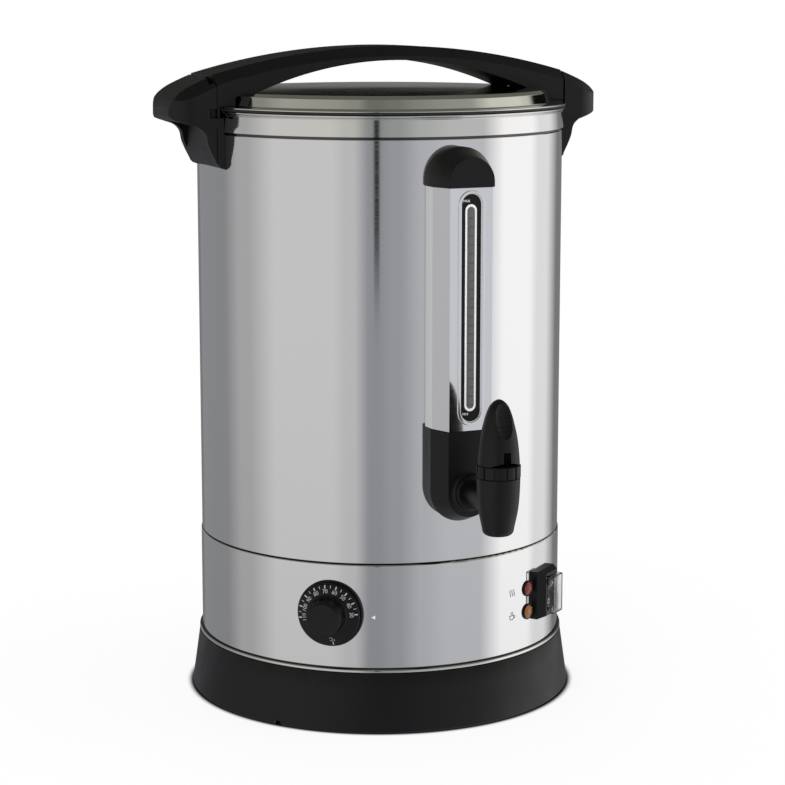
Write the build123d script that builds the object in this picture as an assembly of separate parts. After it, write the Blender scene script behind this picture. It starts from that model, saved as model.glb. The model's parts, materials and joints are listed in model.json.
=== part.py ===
from build123d import *
import os
from math import atan2, cos, degrees, radians, sin, sqrt

# Hot water urn, in millimetres.
# Origin on the vessel's axis, on the surface the base stands on. +Z up, the tap faces -Y, handles along X.
# An azimuth is measured from the front, -Y, and grows towards +X.

# ---- driving dimensions ----------------------------------------------------------------------------
SHEET = 0.8                  # thickness of the stainless sheet

BASE_FOOT_R = 149.0          # plastic base ring, at the ground
BASE_TOP_R = 142.8
BASE_H = 44.0
BASE_WALL = 3.0
PLATE_Z = 8.2                # underside of the steel base plate
PLATE_R = 143.5
FOOT_PAD_R = 8.0
FOOT_PAD_PCD_R = 137.5

SHELL_R = 140.7              # lower shell around the heater
SHELL_BEAD_R = 143.0
SHELL_BEAD_H = 3.2
SEAM_Z = 126.3               # top of the lower shell

BODY_R = 140.0               # vessel wall
FLOOR_Z = 118.0              # underside of the vessel floor
NECK_R = 138.2               # part of the vessel that drops into the lower shell
BAND_Z = 436.4               # joggle below the rim
BAND_R = 140.9
RIM_Z = 451.7                # centre of the rolled rim
RIM_ROLL_R = 2.1
RIM_R = 141.3
RIM_TOP_Z = RIM_Z + RIM_ROLL_R

GASKET_H = 1.1
FLANGE_Z = RIM_TOP_Z + GASKET_H      # underside of the lid flange
FLANGE_R = 143.4
FLANGE_H = 2.6
LID_STEP_R = 130.6
LID_TOP_Z = 465.0
LID_DOME = 0.8

HANDLE_HALF_WIDTH = 32.0     # lid handle, along Y
ARCH_TOP_Z = 498.6
ARCH_R = 531.5
GRIP_GAP_A = 110.0           # half axes of the finger gap under the arch
GRIP_GAP_B = 33.0
GRIP_GAP_Z = 455.3
BEVEL_DROP = 7.0
BEVEL_IN = 10.0
JOINT_R = 146.0              # cylinder on which the lid handle meets the side handles
JOINT_GAP = 0.25
LUG_R = 148.8
LUG_Z = (448.2, 454.2)
LUG_Y = (-29.2, -17.5)
SIDE_HALF_WIDTH = 33.0
SIDE_END = 173.0

COLUMN_HALF = 22.7           # level gauge cover, half width at the vessel
COLUMN_FRONT_HALF = 16.75
COLUMN_KNEE = 149.7
COLUMN_FRONT = 166.5
COLUMN_Z = (228.4, 403.0)
CAP_OVER = 1.4               # how far the plastic ends stand proud of the cover
CAP_TOP_Z = 431.0
HOUSING_BOTTOM_Z = 158.8
WINDOW_Z = (235.4, 398.6)
WINDOW_W = 15.0
LIP_W = 20.4
LIP_Z = (232.5, 401.0)
SLOT_W = 5.9
SLOT_Z = (244.5, 389.5)
TUBE_R = 4.5
TUBE_BORE_R = 3.2
TUBE_N = 158.6               # distance of the gauge tube from the vessel's axis
TUBE_Z = (196.0, 412.0)

TAP_N = 213.0                # distance of the tap's axis from the vessel's axis
SHANK_Z = 184.0
SHANK_R = 8.0
WATERWAY_R = 5.5
BARREL_R = 11.0
CUP_Z = (161.0, 204.0)
CUP_R = 15.7
SEAT_Z = 172.0
OUTLET_R = 5.0
BONNET_TOP_Z = 213.0
LEVER_Z = (213.3, 260.4)
LEVER_R = 15.0
PIN_Z = 218.0
PIN_R = 1.25
STEM_R = 2.5
RUNNING = 0.05               # radial clearance of a turning or sliding fit
LEVER_SWING = 30.0           # degrees

KNOB_AZ = -38.0
KNOB_Z = 88.6
KNOB_BEZEL_R = 25.0
KNOB_SKIRT_R = 23.5
KNOB_GRIP_R = 14.0
KNOB_HEIGHT = 21.0
SHAFT_R = 3.0

LAMP_AZ = 29.6
LAMP_Z = (93.6, 75.6)        # red above amber
LAMP_BEZEL_R = 6.1
LAMP_LENS_R = 5.0

SWITCH_AZ = 38.8
SWITCH_Z = 86.4
SWITCH_W = 30.0
SWITCH_H = 37.0
SWITCH_SIDE = 3.0
SWITCH_FRONT = 8.2
SWITCH_FACE_W = 20.0
SWITCH_FACE_H = 33.0
ROCKER_W = 12.6
ROCKER_H = 25.0
COVER_W = 16.0
COVER_H = 29.5
COVER_OUT = 13.8
ROCKER_SWING = 20.0          # degrees between the switch's two positions

INLET_AZ = 180.0
INLET_Z = 86.0
INLET_FLANGE = (50.0, 24.0)
INLET_RECESS = (24.4, 16.6)
INLET_DEPTH = 15.0
INLET_FACE = 2.6
INLET_HOLE_PITCH = 40.0

SPREADER_R = 98.0
ELEMENT_R = 84.0
ELEMENT_TUBE_R = 4.2
WARM_R = 54.0
WARM_TUBE_R = 3.2
TIE_R = 112.0
BULB_R = 3.2
BULB_X = -40.0
BULB_Z = FLOOR_Z - 4 - BULB_R


# ---- helpers ---------------------------------------------------------------------------------------
def turned(*outline):
    """Solid of revolution about the Z axis of a closed outline of (radius, height) points."""
    return revolve(Plane.XZ * Polygon(*outline, align=None), axis=Axis.Z)


def drum(radius, low, high):
    """Cylinder about the Z axis between two heights."""
    return Pos(0, 0, (low + high) / 2) * Cylinder(radius, high - low)


def on_wall(azimuth, radius, height):
    """Plane on the wall: local X to the right, local Y up, local Z outwards."""
    a = radians(azimuth)
    return Plane(
        origin=(radius * sin(a), -radius * cos(a), height),
        x_dir=(cos(a), sin(a), 0),
        z_dir=(sin(a), -cos(a), 0),
    )


def prism(sketch, low, high):
    """Sketch in its own XY plane, extruded from one local height to another."""
    return extrude(Pos(0, 0, low) * sketch, amount=high - low)


def block(x, y, z):
    """Box given by its low and high limits along each axis."""
    size = (x[1] - x[0], y[1] - y[0], z[1] - z[0])
    return Pos((x[0] + x[1]) / 2, (y[0] + y[1]) / 2, (z[0] + z[1]) / 2) * Box(*size)


def group(solids):
    """Several separate solids as one node."""
    return Compound(children=list(solids))


def both_ends(shape):
    """A shape and its copy on the other side of the vessel."""
    return shape, Rot(0, 0, 180) * shape


def along_y(radius, low_n, high_n, x=0.0, z=0.0):
    """Round bar along Y in front of the vessel, between two distances from its axis."""
    return Pos(x, -(low_n + high_n) / 2, z) * Rot(90, 0, 0) * Cylinder(radius, high_n - low_n)


# ---- base ------------------------------------------------------------------------------------------
def base_ring():
    """Moulded base: conical wall, shelf for the base plate, locating lip for the lower shell."""
    shelf = PLATE_Z + 1.0
    ring = turned(
        (BASE_FOOT_R - BASE_WALL, 0),
        (BASE_FOOT_R - 1.2, 0),
        (BASE_FOOT_R, 1.2),
        (BASE_TOP_R, BASE_H),
        (SHELL_R - 1.2, BASE_H),
        (SHELL_R - 1.2, BASE_H + 8),
        (SHELL_R - 3.7, BASE_H + 8),
        (SHELL_R - 3.7, BASE_H - 3),
        (BASE_TOP_R - 2.6, BASE_H - 3),
        (BASE_FOOT_R - 4.7, shelf + 3),
        (PLATE_R - 5.5, shelf + 3),
        (PLATE_R - 5.5, shelf),
        (BASE_FOOT_R - 4.3, shelf),
    )
    boss = Pos(FOOT_PAD_PCD_R, 0, 4) * Cylinder(FOOT_PAD_R + 2, 8)
    pocket = Pos(FOOT_PAD_PCD_R, 0, 1.5) * Cylinder(FOOT_PAD_R, 3)
    for place in PolarLocations(0, 4, start_angle=45):
        ring = ring + place * boss - place * pocket
    notch = on_wall(-54, BASE_FOOT_R, 0) * Cylinder(3.5, 12)
    return ring - notch


def foot_pads():
    """Four rubber pads in the sockets of the base ring, level with its rim."""
    pad = Pos(FOOT_PAD_PCD_R, 0, 1.5) * Cylinder(FOOT_PAD_R, 3)
    return group(place * pad for place in PolarLocations(0, 4, start_angle=45))


def base_plate():
    """Steel plate that closes the heater housing, with three rings of cooling slots."""
    plate = drum(PLATE_R, PLATE_Z, PLATE_Z + 1)
    slot = prism(SlotOverall(22, 4), PLATE_Z - 1, PLATE_Z + 2)
    for radius, count in ((50, 8), (70, 12), (90, 16)):
        for place in PolarLocations(radius, count):
            plate -= place * Rot(0, 0, 90) * slot
    for place in PolarLocations(TIE_R, 3, start_angle=30):
        plate -= place * Pos(0, 0, PLATE_Z) * Cylinder(2.2, 4)
    return plate


def tie_bolts():
    """Three long hexagon bolts that draw the base plate up to the vessel."""
    bolt = prism(Circle(2.0), PLATE_Z, 112) + prism(RegularPolygon(3.5, 6, major_radius=False), PLATE_Z - 3, PLATE_Z)
    return group(place * bolt for place in PolarLocations(TIE_R, 3, start_angle=30))


def tie_pillars():
    """Threaded pillars welded under the vessel floor, one for each tie bolt."""
    pillar = prism(Circle(4.5), 96, FLOOR_Z) - prism(Circle(2.0), 90, 112)
    return group(place * pillar for place in PolarLocations(TIE_R, 3, start_angle=30))


# ---- shells ----------------------------------------------------------------------------------------
def wall_openings():
    """Cuts through the lower shell for the controls and the inlet."""
    cuts = [on_wall(KNOB_AZ, SHELL_R, KNOB_Z) * Cylinder(5, 20)]
    cuts += [on_wall(KNOB_AZ, SHELL_R, KNOB_Z) * Pos(x, 0, 0) * Cylinder(2.1, 20) for x in (-14, 14)]
    cuts += [on_wall(LAMP_AZ, SHELL_R, z) * Cylinder(4.6, 20) for z in LAMP_Z]
    cuts += [on_wall(SWITCH_AZ, SHELL_R, SWITCH_Z) * Box(22.2, 30.2, 20)]
    inlet = on_wall(INLET_AZ, SHELL_R, INLET_Z)
    cuts += [inlet * Box(20.4, 28.4, 20)]
    cuts += [inlet * Pos(0, y, 0) * Cylinder(1.6, 20) for y in (-INLET_HOLE_PITCH / 2, INLET_HOLE_PITCH / 2)]
    return cuts


def lower_shell():
    """Polished sheet shell around the heater: rolled bead at the foot, rounded shoulder at the top."""
    inner = SHELL_R - SHEET
    outline = Polygon(
        (inner, BASE_H),
        (SHELL_BEAD_R, BASE_H),
        (SHELL_BEAD_R, BASE_H + SHELL_BEAD_H),
        (SHELL_R, BASE_H + SHELL_BEAD_H),
        (SHELL_R, SEAM_Z),
        (NECK_R + 0.2, SEAM_Z),
        (NECK_R + 0.2, SEAM_Z - SHEET),
        (inner, SEAM_Z - SHEET),
        align=None,
    )
    corners = outline.vertices()
    bead = [v for v in corners if abs(v.X - SHELL_BEAD_R) < 0.01]
    shoulder = [v for v in corners if abs(v.X - SHELL_R) < 0.01 and v.Y > 100]
    inside = [v for v in corners if abs(v.X - inner) < 0.01 and v.Y > 100]
    outline = fillet(bead, SHELL_BEAD_H / 2 - 0.05)
    outline = fillet([v for v in outline.vertices() if near(v, shoulder[0])], 1.9)
    outline = fillet([v for v in outline.vertices() if near(v, inside[0])], 1.1)
    shell = revolve(Plane.XZ * outline, axis=Axis.Z)
    for cut in wall_openings():
        shell -= cut
    return shell


def near(vertex, other):
    """Whether two vertices share a place."""
    return (vertex.center() - other.center()).length < 0.01


def vessel_outer(wall_gap=0.0):
    """Outer outline of the vessel, right down to the axis, for the vessel and for what is cut to it."""
    return (
        (0, FLOOR_Z),
        (NECK_R, FLOOR_Z),
        (NECK_R, SEAM_Z),
        (BODY_R - 0.4, SEAM_Z),
        (BODY_R + wall_gap, SEAM_Z + 0.4),
        (BODY_R + wall_gap, BAND_Z - 0.4),
        (BAND_R + wall_gap, BAND_Z + 1.0),
        (BAND_R + wall_gap, RIM_Z),
        (0, RIM_Z),
    )


def vessel():
    """Drawn stainless vessel: neck that seats in the lower shell, joggled band and rolled rim."""
    outer = Polygon(*vessel_outer(), align=None)
    outer = fillet([v for v in outer.vertices() if abs(v.X - NECK_R) < 0.01 and abs(v.Y - FLOOR_Z) < 0.01], 6)
    inner = Polygon(
        (0, FLOOR_Z + SHEET),
        (NECK_R - SHEET, FLOOR_Z + SHEET),
        (NECK_R - SHEET, SEAM_Z + 0.8),
        (BODY_R - SHEET, SEAM_Z + 1.6),
        (BODY_R - SHEET, BAND_Z),
        (BAND_R - SHEET, BAND_Z + 1.4),
        (BAND_R - SHEET, RIM_Z + 9),
        (0, RIM_Z + 9),
        align=None,
    )
    low = [v for v in inner.vertices() if abs(v.X - NECK_R + SHEET) < 0.01 and v.Y < FLOOR_Z + 1]
    inner = fillet(low, 5.2)
    section = outer + Pos(RIM_R, RIM_Z) * Circle(RIM_ROLL_R) - inner
    pot = revolve(Plane.XZ * section, axis=Axis.Z)
    pot -= along_y(SHANK_R + 0.2, 125, 150, z=SHANK_Z)
    for x, y, z in side_screw_places():
        pot -= Pos(x, y, z) * Rot(0, 90, 0) * Cylinder(2.6, 30)
    return pot


def body_envelope():
    """The vessel and its rim without the hollow: what stands against the body is cut to this."""
    solid = revolve(Plane.XZ * Polygon(*vessel_outer(), align=None), axis=Axis.Z)
    return solid + drum(FLANGE_R + 0.2, RIM_Z - RIM_ROLL_R - 0.6, FLANGE_Z + FLANGE_H)


# ---- heater ----------------------------------------------------------------------------------------
def heat_spreader():
    """Aluminium plate under the floor with grooves for the two elements."""
    plate = drum(SPREADER_R, FLOOR_Z - 4, FLOOR_Z)
    for radius, tube in ((ELEMENT_R, ELEMENT_TUBE_R), (WARM_R, WARM_TUBE_R)):
        plate -= Pos(0, 0, FLOOR_Z - 4 - tube + 0.8) * Torus(radius, tube)
    for place in PolarLocations(70, 3, start_angle=90):
        plate -= place * Pos(0, 0, FLOOR_Z - 2) * Cylinder(2.0, 6)
    return plate


def sheathed_element(radius, tube, leg):
    """Tubular element bent to an open ring, with two cold ends that turn down to spade terminals."""
    z = FLOOR_Z - 4 - tube + 0.8
    gap = 14 / radius
    span = 360 - 2 * degrees(gap)
    ring_path = Pos(0, 0, z) * CenterArc((0, 0, 0), radius, degrees(gap), span)
    start = ring_path @ 0
    section = Plane(origin=start, z_dir=ring_path % 0) * Circle(tube)
    body = sweep(section, path=ring_path)
    for side in (0, 1):
        p = ring_path @ side
        body += Pos(p.X, p.Y, z - leg / 2) * Cylinder(tube, leg)
        body += Pos(p.X, p.Y, z) * Sphere(tube)
        body += Pos(p.X, p.Y, z - leg - 4) * Box(6.3, 0.8, 8)
    return body


def element_nuts():
    """Three welded studs with nuts that hold the spreader against the floor."""
    nut = prism(Circle(2.0), FLOOR_Z - 10, FLOOR_Z)
    nut += prism(RegularPolygon(3.5, 6, major_radius=False), FLOOR_Z - 7.2, FLOOR_Z - 4)
    return group(place * nut for place in PolarLocations(70, 3, start_angle=90))


def boil_dry_cutout():
    """Round thermal cutout against the middle of the spreader, with two spade terminals."""
    body = drum(12, FLOOR_Z - 7, FLOOR_Z - 4) + drum(8, FLOOR_Z - 17, FLOOR_Z - 7)
    for x in (-5.5, 5.5):
        body += Pos(x, 0, FLOOR_Z - 21) * Box(0.8, 6.3, 8)
    return body


def cutout_bracket():
    """Strap that presses the cutout against the spreader, with its two screws' feet."""
    strap = block((-24, 24), (-11, 11), (FLOOR_Z - 8, FLOOR_Z - 7))
    strap -= drum(8.2, FLOOR_Z - 10, FLOOR_Z - 5)
    for x in (-1, 1):
        strap += block(sorted((x * 23, x * 24)), (-11, 11), (FLOOR_Z - 7, FLOOR_Z - 4))
        strap += block(sorted((x * 24, x * 33)), (-6, 6), (FLOOR_Z - 5, FLOOR_Z - 4))
    return strap


def thermostat_bulb():
    """Sensing bulb under the spreader, joined by its capillary to the thermostat body."""
    bulb = Pos(BULB_X, 0, BULB_Z) * Rot(90, 0, 0) * Cylinder(BULB_R, 50)
    route = [(BULB_X, -24, BULB_Z), (BULB_X, -29, BULB_Z), (BULB_X, -33, 96), (-56, -66, 84), (-70, -89.6, 84)]
    capillary = FilletPolyline(*route, radius=[3, 8, 8])
    tube = sweep(Plane(origin=capillary @ 0, z_dir=capillary % 0) * Circle(0.9), path=capillary)
    return bulb + tube


def bulb_clip():
    """Spring clip over the bulb, screwed to the spreader."""
    loop = Pos(BULB_X, 15, BULB_Z) * Rot(90, 0, 0) * (Cylinder(BULB_R + 0.8, 12) - Cylinder(BULB_R, 20))
    loop -= block((BULB_X - 6, BULB_X + 6), (0, 30), (FLOOR_Z - 4.6, FLOOR_Z))
    return loop + block((BULB_X + 2.6, BULB_X + 12), (9, 21), (FLOOR_Z - 5, FLOOR_Z - 4))


def terminal_block():
    """Ceramic block on the base plate with three wire ways."""
    body = block((20, 56), (-12, 12), (PLATE_Z + 1, PLATE_Z + 19))
    for x in (27, 38, 49):
        body -= Pos(x, 0, PLATE_Z + 8) * Rot(90, 0, 0) * Cylinder(2.4, 40)
        body -= Pos(x, 0, PLATE_Z + 15) * Cylinder(2.4, 14)
    return body


# ---- thermostat and its knob -------------------------------------------------------------------------
def thermostat_body():
    """Capillary thermostat behind the shell, fixed by two screws under the dial bezel."""
    body = prism(RectangleRounded(36, 34, 3), -24, -5.0) + prism(Circle(7), -5.0, 0)
    body -= prism(Circle(SHAFT_R + RUNNING), -16, 0)
    for x in (-14, 14):
        body -= Pos(x, 0, -9) * Cylinder(1.5, 12)
        body += Pos(x, 10, -28) * Box(0.8, 6.3, 8)
    return on_wall(KNOB_AZ, SHELL_R, KNOB_Z) * body & drum(SHELL_R - SHEET, 40, 130)


def thermostat_screws():
    """Two pan-head machine screws through the shell into the thermostat body."""
    screw = prism(Circle(1.5), -15, -0.3) + prism(Circle(2.8), -0.4, 0.9)
    return group(on_wall(KNOB_AZ, SHELL_R, KNOB_Z) * Pos(x, 0, 0) * screw for x in (-14, 14))


def dial_bezel():
    """Flat plastic ring behind the knob, moulded to the curve of the shell."""
    ring = prism(Circle(KNOB_BEZEL_R), -4, 1.4)
    ring = chamfer(ring.edges().group_by(Axis.Z)[-1], 0.6)
    ring -= prism(Circle(6), -5, 3)
    for x in (-14, 14):
        ring -= Pos(x, 0, 0) * Cylinder(3.2, 10)
    return on_wall(KNOB_AZ, SHELL_R, KNOB_Z) * ring - drum(SHELL_R, 0, 200)


def thermostat_knob():
    """Knob with a dished scale skirt and a fluted grip, hollow behind."""
    knob = revolve(
        Plane.XZ * Polygon(
            (0, 1.9), (KNOB_SKIRT_R, 1.9), (KNOB_SKIRT_R, 5.0), (KNOB_SKIRT_R - 0.8, 5.8),
            (KNOB_GRIP_R + 1.5, 7.4), (KNOB_GRIP_R, 8.6), (KNOB_GRIP_R - 1.2, KNOB_HEIGHT - 1.2),
            (KNOB_GRIP_R - 2.4, KNOB_HEIGHT), (0, KNOB_HEIGHT), align=None),
        axis=Axis.Z,
    )
    knob -= prism(Circle(KNOB_SKIRT_R - 2.2), 1, 3.6)
    knob -= prism(Circle(KNOB_GRIP_R - 3.2) - Circle(5.2), 3, KNOB_HEIGHT - 3)
    flute = Pos(0, 0, KNOB_HEIGHT / 2 + 9.2) * Cylinder(3.4, KNOB_HEIGHT)
    for place in PolarLocations(KNOB_GRIP_R + 1.9, 8, start_angle=10):
        knob -= place * flute
    knob -= prism(Circle(SHAFT_R), -1, KNOB_HEIGHT - 4)
    return on_wall(KNOB_AZ, SHELL_R, KNOB_Z) * knob


def thermostat_shaft():
    """Steel spindle from the thermostat body into the knob."""
    return on_wall(KNOB_AZ, SHELL_R, KNOB_Z) * prism(Circle(SHAFT_R), -15.5, KNOB_HEIGHT - 4)


# ---- indicator lamps ---------------------------------------------------------------------------------
def lamp_lens(height):
    """Domed lens of one indicator lamp, with its shank through the bezel."""
    crown, edge = 2.9, 1.3
    ball_r = (LAMP_LENS_R ** 2 + (crown - edge) ** 2) / (2 * (crown - edge))
    lens = Pos(0, 0, crown - ball_r) * Sphere(ball_r) & drum(LAMP_LENS_R, 0.9, crown + 1)
    lens += drum(LAMP_LENS_R - 1.4, -2, 1)
    return on_wall(LAMP_AZ, SHELL_R, height) * lens


def lamp_bezels():
    """Dark rims of the two lamps, cut to the curve of the shell."""
    ring = turned((LAMP_LENS_R - 1.4, -2), (LAMP_BEZEL_R, -2), (LAMP_BEZEL_R, 0.9), (LAMP_BEZEL_R - 0.5, 1.4),
                  (LAMP_LENS_R, 1.4), (LAMP_LENS_R, 0.9), (LAMP_LENS_R - 1.4, 0.9))
    return group(on_wall(LAMP_AZ, SHELL_R, z) * ring - drum(SHELL_R, 0, 200) for z in LAMP_Z)


LENS_SHANK = drum(LAMP_LENS_R - 1.4, -2, 1)


def lamp_bodies():
    """Neon holders behind the shell, each with a collar nut and two leads' spades."""
    nut = prism(RegularPolygon(6.5, 6, major_radius=False), -5.5, 0)
    body = prism(Circle(4.4), -24, -2)
    body = body + Pos(-2.2, 0, -27) * Box(0.8, 2.8, 6) + Pos(2.2, 0, -27) * Box(0.8, 2.8, 6)
    places = [on_wall(LAMP_AZ, SHELL_R, z) for z in LAMP_Z]
    return group((place * nut & drum(SHELL_R - SHEET, 60, 110)) + place * body - place * LENS_SHANK for place in places)


# ---- switch ------------------------------------------------------------------------------------------
PIVOT_OUT = 4.6              # height of the rocker's pivot above the shell
PIVOT_R = 1.5


def switch_body():
    """Switch frame: bevelled bezel outside, box behind the shell, bearings for the rocker."""
    base = prism(Rectangle(SWITCH_W, SWITCH_H), -2, SWITCH_SIDE)
    bevel = loft([
        Pos(0, 0, SWITCH_SIDE) * Rectangle(SWITCH_W, SWITCH_H),
        Pos(0, 0, SWITCH_FRONT) * Rectangle(SWITCH_FACE_W, SWITCH_FACE_H),
    ])
    frame = base + bevel
    placed = on_wall(SWITCH_AZ, SHELL_R, SWITCH_Z)
    frame = placed * frame - drum(SHELL_R, 0, 200)
    box = prism(Rectangle(22, 30), -24, 1)
    well = prism(Rectangle(ROCKER_W + 0.8, ROCKER_H + 1.2), -6, SWITCH_FRONT + 1)
    bearing = Pos(0, 0, PIVOT_OUT) * Rot(0, 90, 0) * Cylinder(PIVOT_R + RUNNING, ROCKER_W + 5)
    seat = prism(Rectangle(COVER_W, COVER_H) - Rectangle(COVER_W - 2, COVER_H - 2), SWITCH_FRONT - 1.2, SWITCH_FRONT + 1)
    spades = [Pos(x, y, -28) * Box(0.8, 6.3, 8) for x in (-6, 6) for y in (-9, 9)]
    body = frame + placed * box
    for spade in spades:
        body += placed * spade
    return body - placed * well - placed * bearing - placed * seat


def switch_rocker():
    """Rocker with a dished face and two trunnions, tilted to the off position."""
    tip = ROCKER_H / 2
    face = make_face(
        Polyline((tip - 0.4, 8.6), (tip - 0.6, 1.2), (5, -2.6), (-5, -2.6), (-tip + 0.6, 1.2), (-tip + 0.4, 8.6))
        + ThreePointArc((-tip + 0.4, 8.6), (0, 6.4), (tip - 0.4, 8.6))
    )
    rocker = extrude(Plane.YZ * Pos(0, 0) * face, amount=ROCKER_W / 2, both=True)
    rocker += Pos(0, 0, PIVOT_OUT) * Rot(0, 90, 0) * Cylinder(PIVOT_R, ROCKER_W + 4)
    tilt = Pos(0, 0, PIVOT_OUT) * Rot(ROCKER_SWING / 2, 0, 0) * Pos(0, 0, -PIVOT_OUT)
    return on_wall(SWITCH_AZ, SHELL_R, SWITCH_Z) * tilt * rocker


def switch_cover():
    """Clear splash cover over the rocker, seated in a groove of the switch frame."""
    outer = prism(Rectangle(COVER_W, COVER_H), SWITCH_FRONT - 1.2, COVER_OUT)
    outer = fillet(outer.edges().filter_by(Axis.Z), 1.0)
    inner = prism(Rectangle(COVER_W - 2, COVER_H - 2), SWITCH_FRONT - 2, COVER_OUT - 1)
    return on_wall(SWITCH_AZ, SHELL_R, SWITCH_Z) * (outer - inner)


# ---- power inlet -------------------------------------------------------------------------------------
def inlet_outline(grow=0.0):
    """Outline of the inlet's socket: a rectangle with two cut corners, long side upright."""
    a, b = INLET_RECESS[0] / 2 + grow, INLET_RECESS[1] / 2 + grow
    cut = 4.5
    return Polygon((-b, -a), (b - cut, -a), (b, -a + cut), (b, a - cut), (b - cut, a), (-b, a), align=None)


def power_inlet():
    """Appliance inlet at the back: flange with two screw ears, socket and rear terminals."""
    length, width = INLET_FLANGE
    flange = prism(RectangleRounded(width, length, 4), -2, INLET_FACE)
    placed = on_wall(INLET_AZ, SHELL_R, INLET_Z)
    body = placed * flange - drum(SHELL_R, 0, 200)
    body += placed * prism(Rectangle(20, 28), -INLET_DEPTH - 3, 1)
    body -= placed * prism(inlet_outline(), INLET_FACE - INLET_DEPTH, INLET_FACE + 1)
    for y in (-INLET_HOLE_PITCH / 2, INLET_HOLE_PITCH / 2):
        body -= placed * Pos(0, y, 0) * Cylinder(1.6, 12)
        body -= placed * Pos(0, y, INLET_FACE - 0.8) * Cone(1.6, 3.0, 1.8)
    for blade in inlet_blades():
        body -= placed * blade
    return body


def inlet_blades():
    """Two line blades and the earth blade, in the plane of the inlet."""
    places = ((-2.0, -7.0), (-2.0, 7.0), (2.0, 0.0))
    tail = -INLET_DEPTH - 11
    return [Pos(x, y, (tail + INLET_FACE - 3) / 2) * Box(4, 2, INLET_FACE - 3 - tail) for x, y in places]


def inlet_pins():
    """The inlet's three blades."""
    return group(on_wall(INLET_AZ, SHELL_R, INLET_Z) * blade for blade in inlet_blades())


def inlet_screws():
    """Two countersunk screws in the inlet's ears."""
    head = INLET_FACE - 0.8
    screw = prism(Circle(1.6), -8, head) + Pos(0, 0, head - 0.05) * Cone(1.6, 2.9, 1.7)
    places = (-INLET_HOLE_PITCH / 2, INLET_HOLE_PITCH / 2)
    return group(on_wall(INLET_AZ, SHELL_R, INLET_Z) * Pos(0, y, 0) * screw for y in places)


# ---- level gauge -------------------------------------------------------------------------------------
def column_section(grow):
    """Faceted section of the gauge column, from the vessel to its front facet."""
    w, wf = COLUMN_HALF + grow, COLUMN_FRONT_HALF + grow * 0.7
    knee, front = COLUMN_KNEE + grow * 0.4, COLUMN_FRONT + grow * 0.7
    return Polygon((-w, -130), (-w, -knee), (-wf, -front), (wf, -front), (w, -knee), (w, -130), align=None)


def column(grow, low, high):
    """Length of the gauge column between two heights."""
    return extrude(Pos(0, 0, low) * column_section(grow), amount=high - low)


def round_end(half, end_z, inward):
    """Front-view mask with a half-round end at one height; inward is +1 upwards, -1 downwards."""
    centre = end_z + inward * half
    face = Pos(0, centre) * Circle(half) + Pos(0, centre + inward * 100) * Rectangle(2 * half, 200)
    return extrude(Plane.XZ * face, amount=250)


def stadium(width, z, n_low, n_high):
    """Upright slot shape in front of the vessel, between two distances from its axis."""
    face = Pos(0, (z[0] + z[1]) / 2) * Rot(0, 0, 90) * SlotOverall(z[1] - z[0], width)
    return extrude(Plane.XZ.offset(n_low) * face, amount=n_high - n_low)


def gauge_cover():
    """Bright faceted cover of the level gauge, with a raised lip round the window."""
    cover = column(0, *COLUMN_Z) - column(-SHEET, COLUMN_Z[0] - 1, COLUMN_Z[1] + 1)
    cover += stadium(LIP_W, LIP_Z, COLUMN_FRONT - SHEET, COLUMN_FRONT + 0.9)
    cover = cover - stadium(WINDOW_W + 1.6, (WINDOW_Z[0] - 0.8, WINDOW_Z[1] + 0.8), COLUMN_FRONT, COLUMN_FRONT + 3)
    cover = cover - stadium(WINDOW_W, WINDOW_Z, COLUMN_FRONT - 5, COLUMN_FRONT + 3)
    return cover - drum(BODY_R, 200, 430)


def column_end(low, high, mask, hollow, hollow_mask):
    """Plastic end of the gauge column: a faceted shell with a half-round end."""
    shell = column(CAP_OVER, low, high) & mask
    shell -= column(CAP_OVER - 2.4, *hollow) & hollow_mask
    return shell - drum(BODY_R, 100, 500)


def gauge_cap():
    """Black cap with a half-round top over the gauge column."""
    half = COLUMN_HALF + CAP_OVER
    low = COLUMN_Z[1]
    mask = round_end(half, CAP_TOP_Z, -1)
    hollow_mask = round_end(half - 2.4, CAP_TOP_Z - 2.4, -1)
    cap = column_end(low, CAP_TOP_Z + 1, mask, (low - 1, CAP_TOP_Z), hollow_mask)
    collar = prism(Circle(9) - Circle(7), low + 0.5, TUBE_Z[1] + 5) & Pos(0, 0.6, 0) * drum(9, 380, 430)
    return cap + Pos(0, -TUBE_N, 0) * collar


def tap_housing():
    """Black lower end of the gauge column, through which the tap's shank passes."""
    half = COLUMN_HALF + CAP_OVER
    high = COLUMN_Z[0]
    mask = round_end(half, HOUSING_BOTTOM_Z, 1)
    hollow_mask = round_end(half - 2.4, HOUSING_BOTTOM_Z + 2.4, 1)
    shell = column_end(HOUSING_BOTTOM_Z - 1, high, mask, (HOUSING_BOTTOM_Z, high + 1), hollow_mask)
    return shell - along_y(SHANK_R, 120, 180, z=SHANK_Z)


def scale_plate():
    """Black plate behind the window, with the slot that shows the gauge tube."""
    back, front = TUBE_N + TUBE_R + 0.3, COLUMN_FRONT - SHEET
    plate = stadium(WINDOW_W + 6, (WINDOW_Z[0] - 3, WINDOW_Z[1] + 3), back, front)
    return plate - stadium(SLOT_W, SLOT_Z, back - 2, front + 2)


def gauge_tube():
    """Glass level tube."""
    tube = drum(TUBE_R, *TUBE_Z) - drum(TUBE_BORE_R, TUBE_Z[0] - 1, TUBE_Z[1] + 1)
    return Pos(0, -TUBE_N, 0) * tube


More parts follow.
